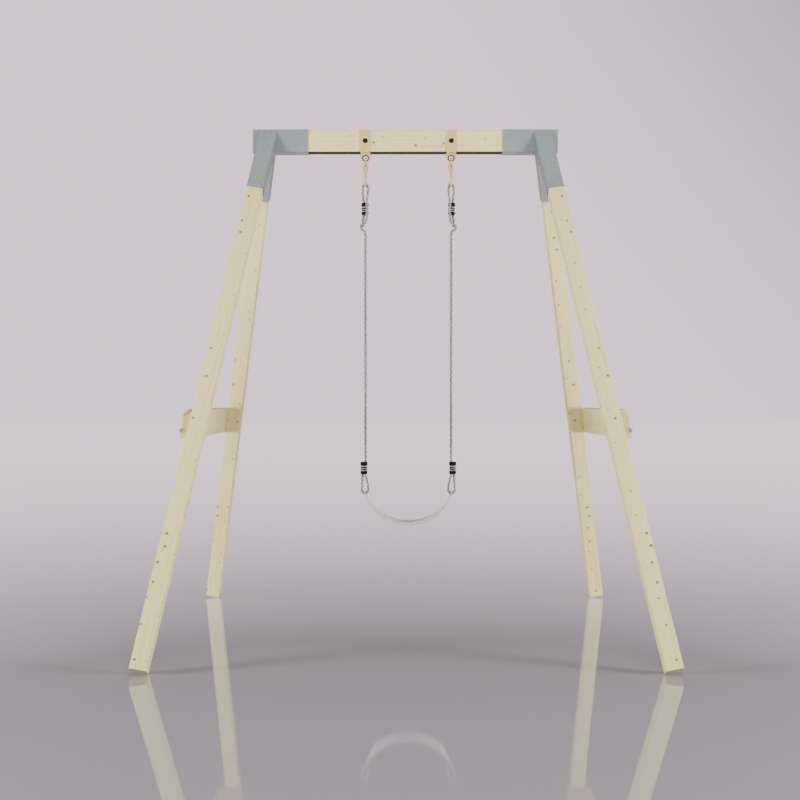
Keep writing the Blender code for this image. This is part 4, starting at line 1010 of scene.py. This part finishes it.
class SWING_OT_snap_hooks(bpy.types.Operator):
    """Build the bows, swivel heads, snap hooks, gates and pins"""
    bl_idname = "swing.snap_hooks"
    bl_label = "Bows, swivels and snap hooks"

    def execute(self, context):
        settings = context.scene.swing_metal
        zinc = zinc_material(settings)
        dark = dark_steel_material(settings)
        for word, _ in SIDES:
            gate = GATE_AXES[word]
            self.bow(word, gate.x, zinc)
            self.head(word, gate.x, zinc)
            self.hook(word, gate, zinc)
            self.gate(word, gate, zinc)
            head_pin_thin, head_pin_cap, gate_pin_cap = 0.0016, 0.0012, 0.0004
            self.pin(word + "_head_pin", 1, head_pin_cap, dark, head_pin_thin)
            self.pin(word + "_gate_pin", 0, gate_pin_cap, dark)
        return {"FINISHED"}

    def pin(self, node, along, cap, material, thin=None):
        """A pin along X (0) or Y (1) with rounded caps, over a thinner middle if one is given."""
        low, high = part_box(node)
        end = (high[along] - low[along]) / 2
        big = (high[2] - low[2]) / 2
        half = [(thin or big, end - cap), (big, end - cap), (big, end - cap * 0.55), (big * 0.82, end - cap * 0.15),
                (big * 0.45, end), (0.0002, end)]
        profile = [(r, -z) for r, z in reversed(half)] + half
        turn = Matrix.Rotation(-pi / 2, 4, "X") if along else Matrix.Rotation(pi / 2, 4, "Y")
        put("steel_" + node, turned(node, profile, 32), material, "swing",
            Matrix.Translation(middle_of(node)) @ turn, (node,))

    def bow(self, word, x, zinc):
        low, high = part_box(word + "_bow")
        rod = (high[0] - low[0]) / 2
        play = 0.0002
        half = high[1] - rod - SWING_AXIS.y
        top = high[2] - rod
        corner = 0.010
        foot = low[2] + 0.0002
        path = [(-half, foot), (-half, (foot + top) / 2),
                *arc((-half + corner, top - corner), corner, 180, 90, 12),
                *arc((half - corner, top - corner), corner, 90, 0, 12), (half, (foot + top) / 2), (half, foot)]
        points = [Vector((x, SWING_AXIS.y + y, z)) for y, z in path]
        radii = [rod - play] * len(points)
        put("steel_" + word + "_bow", sweep(word + " bow", points, radii, 28), zinc, "swing",
            replaces=(word + "_bow",))

    def head(self, word, x, zinc):
        low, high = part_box(word + "_swivel_head")
        width, depth, height = (high[i] - low[i] for i in range(3))
        shape = ((0.000, 0.86, 0.93), (0.012, 0.92, 0.965), (0.045, 0.965, 0.99), (0.10, 1.0, 1.0), (0.36, 1.0, 1.0),
                 (0.48, 0.99, 0.96), (0.60, 0.96, 0.84), (0.72, 0.92, 0.68), (0.84, 0.87, 0.53), (0.93, 0.83, 0.45),
                 (0.97, 0.79, 0.42), (1.0, 0.72, 0.38))
        rings = []
        for level, wide, deep in shape:
            outline = round_rect(width * wide, depth * deep, 0.0052, 7)
            rings.append([(px, py, -level * height) for px, py in outline])
        place = Matrix.Translation((x, (low[1] + high[1]) / 2, high[2]))
        piece = put("steel_" + word + "_swivel", loft(word + " swivel", rings, 50), zinc, "swing", place,
                    (word + "_swivel_head",))
        low_bow, high_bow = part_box(word + "_bow")
        rod = (high_bow[0] - low_bow[0]) / 2
        reach = high_bow[1] - rod - SWING_AXIS.y
        for end in (-1, 1):
            socket = turned("socket", ((rod + 0.0003, low_bow[2] - 0.0003), (rod + 0.0003, high[2] + 0.004)), 28)
            combine(piece, guide("socket", socket, Matrix.Translation((x, SWING_AXIS.y + end * reach, 0))),
                    "DIFFERENCE")
        shank = turned("shank bore", ((0.0049, low[2] - 0.004), (0.0049, SWING_AXIS.z - SHANK_BORE_DROP)), 28)
        combine(piece, guide("shank bore", shank, Matrix.Translation((x, SWING_AXIS.y, 0))), "DIFFERENCE")
        smooth(piece.data, 38)
        round_edges(piece, 0.0005, 2, 50)
        weight_normals(piece)

    def hook(self, word, gate, zinc):
        x = gate.x
        points, radii = hook_line(word, gate)
        piece = put("steel_" + word + "_hook", sweep(word + " hook", points, radii, 28), zinc, "swing",
                    replaces=(word + "_snap_hook",))
        top = SWING_AXIS.z - SHANK_DROP
        base = SWING_AXIS.z - SHANK_FOOT_DROP
        cheek_out = 0.0049
        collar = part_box(word + "_swivel_head")[0][2] - 0.0004
        profile = rounded_profile(((0.0002, top), (0.0046, top), (0.0046, collar), (0.0068, collar),
                                   (0.0068, collar - 0.0022), (0.0048, collar - 0.0030), (0.0052, base), (0.0002, base)),
                                  0.0006, 3)
        spot = Matrix.Translation((x, SWING_AXIS.y, 0))
        combine(piece, guide("shank", turned("shank", profile, 32), spot), "UNION")
        for end in (-1, 1):
            spot = Matrix.Translation((x + end * cheek_out, gate.y, gate.z))
            cheek = spot @ Matrix.Rotation(pi / 2, 4, "Y")
            plate = turned("cheek", rounded_profile(((0.0002, -0.0009), (0.0042, -0.0009), (0.0042, 0.0009),
                                                     (0.0002, 0.0009)), 0.0003, 2), 28)
            combine(piece, guide("cheek", plate, cheek), "UNION")
            arm = loft("arm", [[(px, py, z) for px, py in round_rect(0.0018, 0.0062, 0.0004, 2)]
                               for z in (0.0, 0.0078)])
            spot = Matrix.Translation((x + end * cheek_out, gate.y, gate.z))
            combine(piece, guide("arm", arm, spot), "UNION")
        smooth(piece.data, 42)
        weight_normals(piece)

    def gate(self, word, gate, zinc):
        rod, groove, closed_tip = GATE_ROD, GATE_ROD - 0.00035, 0.0003
        profile = [(max(r, closed_tip), z) for r, z in arc((0, 0), rod, 90, 0, 8)]
        for z in (-0.0050, -0.0085, -0.0120):
            profile += [(rod, z + 0.0009), (groove, z + 0.0004), (groove, z - 0.0004), (rod, z - 0.0009)]
        profile += [(max(r, closed_tip), z - GATE_LENGTH) for r, z in arc((0, 0), rod, 0, -90, 8)]
        piece = put("steel_" + word + "_gate", turned(word + " gate", profile, 28, sharp=60), zinc, word + "_gate",
                    Matrix.Translation(gate), (word + "_hook_gate",))
        bore = turned("gate bore", ((0.0018, -0.006), (0.0018, 0.006)), 20)
        combine(piece, guide("gate bore", bore, Matrix.Translation(gate) @ Matrix.Rotation(pi / 2, 4, "Y")),
                "DIFFERENCE")
        smooth(piece.data, 40)


class SWING_OT_clamps(bpy.types.Operator):
    """Build the four ribbed rope clamps"""
    bl_idname = "swing.clamps"
    bl_label = "Rope clamps"

    def execute(self, context):
        settings = context.scene.swing_seat
        material = clamp_material(settings)
        play = 0.0005
        fit = context.scene.swing_rope.diameter / 2 + play
        for word, side in SIDES:
            for level, turn, (out, forward) in CLAMP_PLACES:
                node = word + "_" + level + "_clamp"
                low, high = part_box(node)
                half = (high[0] - low[0]) / 2
                height = high[2] - low[2]
                x = GATE_AXES[word].x + side * out
                ribs = [(half * scale, -drop * height) for drop, scale in CLAMP_RIBS]
                mesh = turned(node, rounded_profile(ribs, 0.0011, 4), 64, CLAMP_DEPTH_SHARE)
                piece = put("plastic_" + node, mesh, material, "swing",
                            Matrix.Translation((x, forward, high[2])), (node,))
                for cx, cy in CLAMP_CHANNELS:
                    bore = turned("bore", ((fit + 0.001, 0.002), (fit, -0.001), (fit, 0.001 - height),
                                           (fit + 0.001, -height - 0.002)), 40)
                    spot = Matrix.Translation((x + side * turn * cx, forward + turn * cy, high[2]))
                    combine(piece, guide("bore", bore, spot), "DIFFERENCE")
                smooth(piece.data, 38)
                round_edges(piece, 0.0005, 2, 45)
                weight_normals(piece)
        return {"FINISHED"}


class SWING_OT_ropes(bpy.types.Operator):
    """Lay the two ropes, strand by strand"""
    bl_idname = "swing.ropes"
    bl_label = "Ropes"

    step = 0.0019
    strand_share = 0.475

    def execute(self, context):
        settings = context.scene.swing_rope
        material = rope_material(settings)
        for word, side in SIDES:
            x = GATE_AXES[word].x
            route = [(x + side * out, SWING_AXIS.y + y, SWING_AXIS.z - drop) for out, y, drop in ROPE_ROUTE]
            line = smooth_route(route, self.step)
            piece = put("rope_" + word, self.rope(line, settings, side), material, "swing",
                        replaces=(word + "_rope",))
        return {"FINISHED"}

    def rope(self, line, settings, side):
        """Strands wound about the line, each a little wider across than outward."""
        strands = settings.strands
        outer = settings.diameter / 2
        thick = outer * self.strand_share
        orbit = outer - thick
        frames = path_frames(line)
        run = travel(line)
        sides = 14
        work = bmesh.new()
        layer = work.loops.layers.uv.new("length and turn")
        for k in range(strands):
            rows = []
            for point, s, (u, v) in zip(line, run, frames):
                turn = 2 * pi * (k / strands + s / settings.lay * side)
                out = cos(turn) * u + sin(turn) * v
                across = -sin(turn) * u + cos(turn) * v
                breath = 1.0 + 0.018 * sin(s * 310.0 + k * 2.1) + 0.012 * sin(s * 97.0 + k)
                centre = point + orbit * out
                row = []
                for i in range(sides):
                    a = 2 * pi * i / sides
                    wide = thick * breath * (1.06 if abs(cos(a)) < 0.6 else 1.0)
                    row.append(work.verts.new(centre + thick * breath * cos(a) * out + wide * sin(a) * across))
                rows.append(row)
            for j, (lower, upper) in enumerate(zip(rows, rows[1:])):
                for i in range(sides):
                    m = (i + 1) % sides
                    face = work.faces.new((lower[i], lower[m], upper[m], upper[i]))
                    marks = ((run[j], i), (run[j], i + 1), (run[j + 1], i + 1), (run[j + 1], i))
                    for loop, (s, turn) in zip(face.loops, marks):
                        loop[layer].uv = (s, turn / sides)
            work.faces.new(rows[0])
            work.faces.new(rows[-1])
        bmesh.ops.recalc_face_normals(work, faces=work.faces)
        mesh = bpy.data.meshes.new("rope")
        work.to_mesh(mesh)
        work.free()
        return smooth(mesh, 60)


class SWING_OT_seat(bpy.types.Operator):
    """Build the belt seat and its two eyelets"""
    bl_idname = "swing.seat"
    bl_label = "Belt seat"

    flat_angle = radians(73.0)
    end_angle = radians(80.0)
    tip_angle = radians(6.4)
    sag = 0.1208
    eyelet_out = -0.0007
    under_axis = 0.0015
    thickness = (0.0080, 0.0036)
    thinning = (radians(60.0), radians(72.0))
    width = (0.126, 0.050)
    taper = (radians(44.0), radians(74.0))

    def middle(self, angle):
        """A point of the belt's middle line, by its angle from the lowest point, and the normal there."""
        half_span = (GATE_AXES["right"].x - GATE_AXES["left"].x) / 2 + self.eyelet_out
        past_eyelet = self.end_angle - self.flat_angle
        a = half_span / (sin(self.flat_angle) + past_eyelet * cos(self.flat_angle))
        b = self.sag / (1 - cos(self.flat_angle) + past_eyelet * sin(self.flat_angle))
        bend = min(abs(angle), self.flat_angle)
        past = abs(angle) - bend
        sign = -1 if angle < 0 else 1
        rise = b * (1 - cos(bend) + past * sin(bend)) - self.sag - self.under_axis
        normal = Vector((-sign * b * sin(bend), 0, a * cos(bend))).normalized()
        return Vector((sign * a * (sin(bend) + past * cos(bend)), 0, rise)), normal

    def eased(self, angle, span, sizes):
        """A size that changes softly between two angles from the belt's lowest point."""
        part = min(max((abs(angle) - span[0]) / (span[1] - span[0]), 0.0), 1.0)
        return sizes[0] + (sizes[1] - sizes[0]) * part * part * (3 - 2 * part)

    def half_width(self, angle):
        half = self.eased(angle, self.taper, self.width) / 2
        past = (abs(angle) - self.end_angle) / self.tip_angle
        return half * sqrt(max(1 - past ** 2, 0.04)) if past > 0 else half

    def execute(self, context):
        settings = context.scene.swing_seat
        belt = put("belt_seat_moulding", self.belt(settings.rim), belt_material(settings), "seat",
                   Matrix.Translation(SEAT_AXIS), ("belt_seat",))
        half = self.thickness[1] / 2
        bore, wall, flange, lip = 0.0104, 0.0010, 0.0140, 0.0006
        hole = bore + wall + 0.0002
        face = half + 0.0003
        eyelet = dark_steel_material(context.scene.swing_metal)
        for word, side in SIDES:
            point, normal = self.middle(side * self.end_angle)
            facing = normal.to_track_quat("Z", "Y").to_matrix().to_4x4()
            place = Matrix.Translation(SEAT_AXIS + point) @ facing
            cut = turned("hole", ((hole, -0.02), (hole, 0.02)), 48)
            combine(belt, guide("hole", cut, place), "DIFFERENCE")
            top = face + lip
            profile = [(bore + 0.0012, top), (flange - 0.0008, top), (flange - 0.0002, top - 0.0002),
                       (flange, face), (bore + wall, face), (bore + wall, -face), (flange, -face),
                       (flange - 0.0002, 0.0002 - top),
                       (flange - 0.0008, -top), (bore + 0.0012, -top), (bore + 0.0004, 0.0004 - top),
                       (bore, 0.0012 - top), (bore, top - 0.0012), (bore + 0.0004, top - 0.0004)]
            put("eyelet_" + word, turned("eyelet", profile, 56, closed=True, sharp=50), eyelet, "seat", place,
                (word + "_seat_eyelet",))
        smooth(belt.data, 40)
        weight_normals(belt)
        return {"FINISHED"}

    def belt(self, rim):
        """The moulded strip: a flat web between two edge beads that run together round the tips."""
        end = self.end_angle + self.tip_angle
        steps, bead, fade_out = 96, 0.0050, radians(9.0)
        bends = [end * sin(pi / 2 * (2 * i / steps - 1)) for i in range(steps + 1)]
        rings = []
        for angle in bends:
            point, normal = self.middle(angle)
            wide = self.half_width(angle)
            half = self.eased(angle, self.thinning, self.thickness) / 2
            fade = min(max((self.end_angle - fade_out - abs(angle)) / fade_out, 0.0), 1.0)
            proud = rim * fade * fade * (3 - 2 * fade)
            inner = max(wide - 2 * bead, 0.25 * wide)
            bulge = half + proud
            core = wide - bulge
            ramp = inner + (core - inner) * 0.45
            web = [(level * inner, half) for level in (-1.0, -0.66, -0.33, 0.0, 0.33, 0.66, 1.0)]
            lobe = [(ramp, half + proud * 0.55), (core, bulge), *arc((core, 0.0), bulge, 60, -60, 4),
                    (core, -bulge), (ramp, -half - proud * 0.55)]
            section = web + lobe + [(-y, -z) for y, z in web + lobe]
            rings.append([point + normal * z + Vector((0, y, 0)) for y, z in section])
        return loft("belt", rings, 40)


class SWING_OT_stage(bpy.types.Operator):
    """Set the floor, the soft studio light and the camera"""
    bl_idname = "swing.stage"
    bl_label = "Stage"

    camera_place = (-0.0221, -4.93, 0.9586)
    lens = 53.1
    sensor = 36.0
    floor_radii = (0.5, 2.0, 6.0, 20.0, 60.0)
    floor_drop = 0.0004

    def execute(self, context):
        settings = context.scene.swing_stage
        self.room(context.scene, settings)
        self.floor(settings)
        for name, spot, aim, size, power in (
                ("left light", (-5.0, -2.6, 0.95), (0.0, 0.2, 0.9), 1.3, settings.side),
                ("right light", (5.0, -2.6, 0.95), (0.0, 0.2, 0.9), 1.3, settings.side),
                ("front light", (0.6, -4.4, 4.4), (0.0, 0.0, 0.9), 3.0, settings.front),
                ("back light", (0.0, 4.6, 4.0), (0.0, 0.0, 1.2), 3.0, settings.front * 0.7)):
            lamp = bpy.data.lights.new(name, "AREA")
            lamp.shape = "DISK"
            lamp.size = size
            lamp.energy = power
            item = bpy.data.objects.new(name, lamp)
            context.scene.collection.objects.link(item)
            item.visible_camera = False
            item.visible_glossy = False
            item.location = spot
            item.rotation_mode = "QUATERNION"
            item.rotation_quaternion = (Vector(aim) - Vector(spot)).to_track_quat("-Z", "Y")
        lens = bpy.data.cameras.new("camera")
        lens.lens = self.lens
        lens.sensor_width = self.sensor
        camera = bpy.data.objects.new("camera", lens)
        context.scene.collection.objects.link(camera)
        camera.location = self.camera_place
        camera.rotation_euler = (pi / 2, 0.0, 0.0)
        context.scene.camera = camera
        return {"FINISHED"}

    def room(self, scene, settings):
        """An even glow all round, fainter towards one upper corner, and dimmer for what it lights."""
        world = bpy.data.worlds.new("soft room")
        scene.world = world
        world.use_nodes = True
        n = Nodes(world.node_tree)
        background = world.node_tree.nodes["Background"]
        way = n.add("ShaderNodeSeparateXYZ", {"Vector": n.add("ShaderNodeTexCoord").outputs["Generated"]}).outputs
        corner = n.math("ADD", n.math("MULTIPLY", way["X"], 0.9), n.math("MULTIPLY", way["Z"], 0.7))
        dim = solid(settings.backdrop, 0.46)
        ray = n.add("ShaderNodeLightPath").outputs
        seen = n.mix(n.ramp(corner, 0.20, 0.62), solid(settings.backdrop), dim)
        n.set(background.inputs["Color"], n.mix(ray["Is Camera Ray"], solid((0.920, 0.900, 0.900)), seen))
        lit = n.ramp(ray["Is Camera Ray"], 0.0, 1.0, settings.glow * settings.room, settings.glow)
        shine = n.math("MULTIPLY", ray["Is Glossy Ray"], n.ramp(way["Y"], 0.1, 0.6, 0.0, 0.75))
        n.set(background.inputs["Strength"], n.math("MULTIPLY", lit, n.math("SUBTRACT", 1.0, shine)))

    def floor(self, settings):
        """A wide glossy floor that fades into the glow of the room with distance."""
        angles = circle_angles(96)
        work = bmesh.new()
        rows = [[work.verts.new(point) for point in ring([r] * len(angles), angles, -self.floor_drop)]
                for r in self.floor_radii]
        for inner, outer in zip(rows, rows[1:]):
            for i in range(len(angles)):
                j = (i + 1) % len(angles)
                work.faces.new((inner[i], outer[i], outer[j], inner[j]))
        work.faces.new(rows[0])
        mesh = bpy.data.meshes.new("floor")
        work.to_mesh(mesh)
        work.free()
        material, n, shader, where = begin("pale floor")
        fade_middle, fade_start, fade_rate = (0.0, -2.0, 0.0), 1.8, -0.26
        away = n.size(n.vector("SUBTRACT", where, fade_middle))
        past = n.math("MULTIPLY", n.math("SUBTRACT", away, fade_start), fade_rate)
        fade = n.math("SUBTRACT", 1.0, n.math("EXPONENT", n.math("MINIMUM", past, 0.0)))
        n.set(shader.inputs["Base Color"], n.mix(fade, solid(settings.floor), solid((0.0, 0.0, 0.0))))
        n.set(shader.inputs["Emission Color"], solid(settings.backdrop))
        n.set(shader.inputs["Emission Strength"], n.math("MULTIPLY", fade, settings.glow))
        n.set(shader.inputs["Specular IOR Level"], n.math("SUBTRACT", 1.0, fade))
        n.set(shader.inputs["Roughness"], n.ramp(n.noise(where, 2.0, 3.0), 0.3, 0.7, 0.035, 0.050))
        shader.inputs["IOR"].default_value = 1.6
        mesh.materials.append(material)
        item = bpy.data.objects.new("floor", mesh)
        bpy.context.scene.collection.objects.link(item)


class SWING_PT_build(bpy.types.Panel):
    """Sizes, colours and the steps that build the swing"""
    bl_idname = "SWING_PT_build"
    bl_label = "Timber swing stand"
    bl_space_type = "VIEW_3D"
    bl_region_type = "UI"
    bl_category = "Swing"

    def draw(self, context):
        layout = self.layout
        for step in STEPS:
            layout.operator(step.bl_idname)
        for key, group in SETTINGS.items():
            box = layout.box()
            box.label(text=key.replace("_", " ").title())
            for name in group.__annotations__:
                box.prop(getattr(context.scene, key), name)


STEPS = (SWING_OT_stage, SWING_OT_timber, SWING_OT_brackets, SWING_OT_fixings, SWING_OT_straps, SWING_OT_snap_hooks,
         SWING_OT_clamps, SWING_OT_ropes, SWING_OT_seat)
SETTINGS = {"swing_timber": TimberSettings, "swing_metal": MetalSettings, "swing_rope": RopeSettings,
            "swing_seat": SeatSettings, "swing_stage": StageSettings}


def register():
    for group in SETTINGS.values():
        bpy.utils.register_class(group)
    for key, group in SETTINGS.items():
        setattr(bpy.types.Scene, key, PointerProperty(type=group))
    for step in (*STEPS, SWING_PT_build):
        bpy.utils.register_class(step)


def unregister():
    for step in (SWING_PT_build, *reversed(STEPS)):
        bpy.utils.unregister_class(step)
    for key in SETTINGS:
        delattr(bpy.types.Scene, key)
    for group in reversed(SETTINGS.values()):
        bpy.utils.unregister_class(group)


def main():
    register()
    for step in STEPS:
        family, call = step.bl_idname.split(".")
        getattr(getattr(bpy.ops, family), call)()


if __name__ == "__main__":
    main()
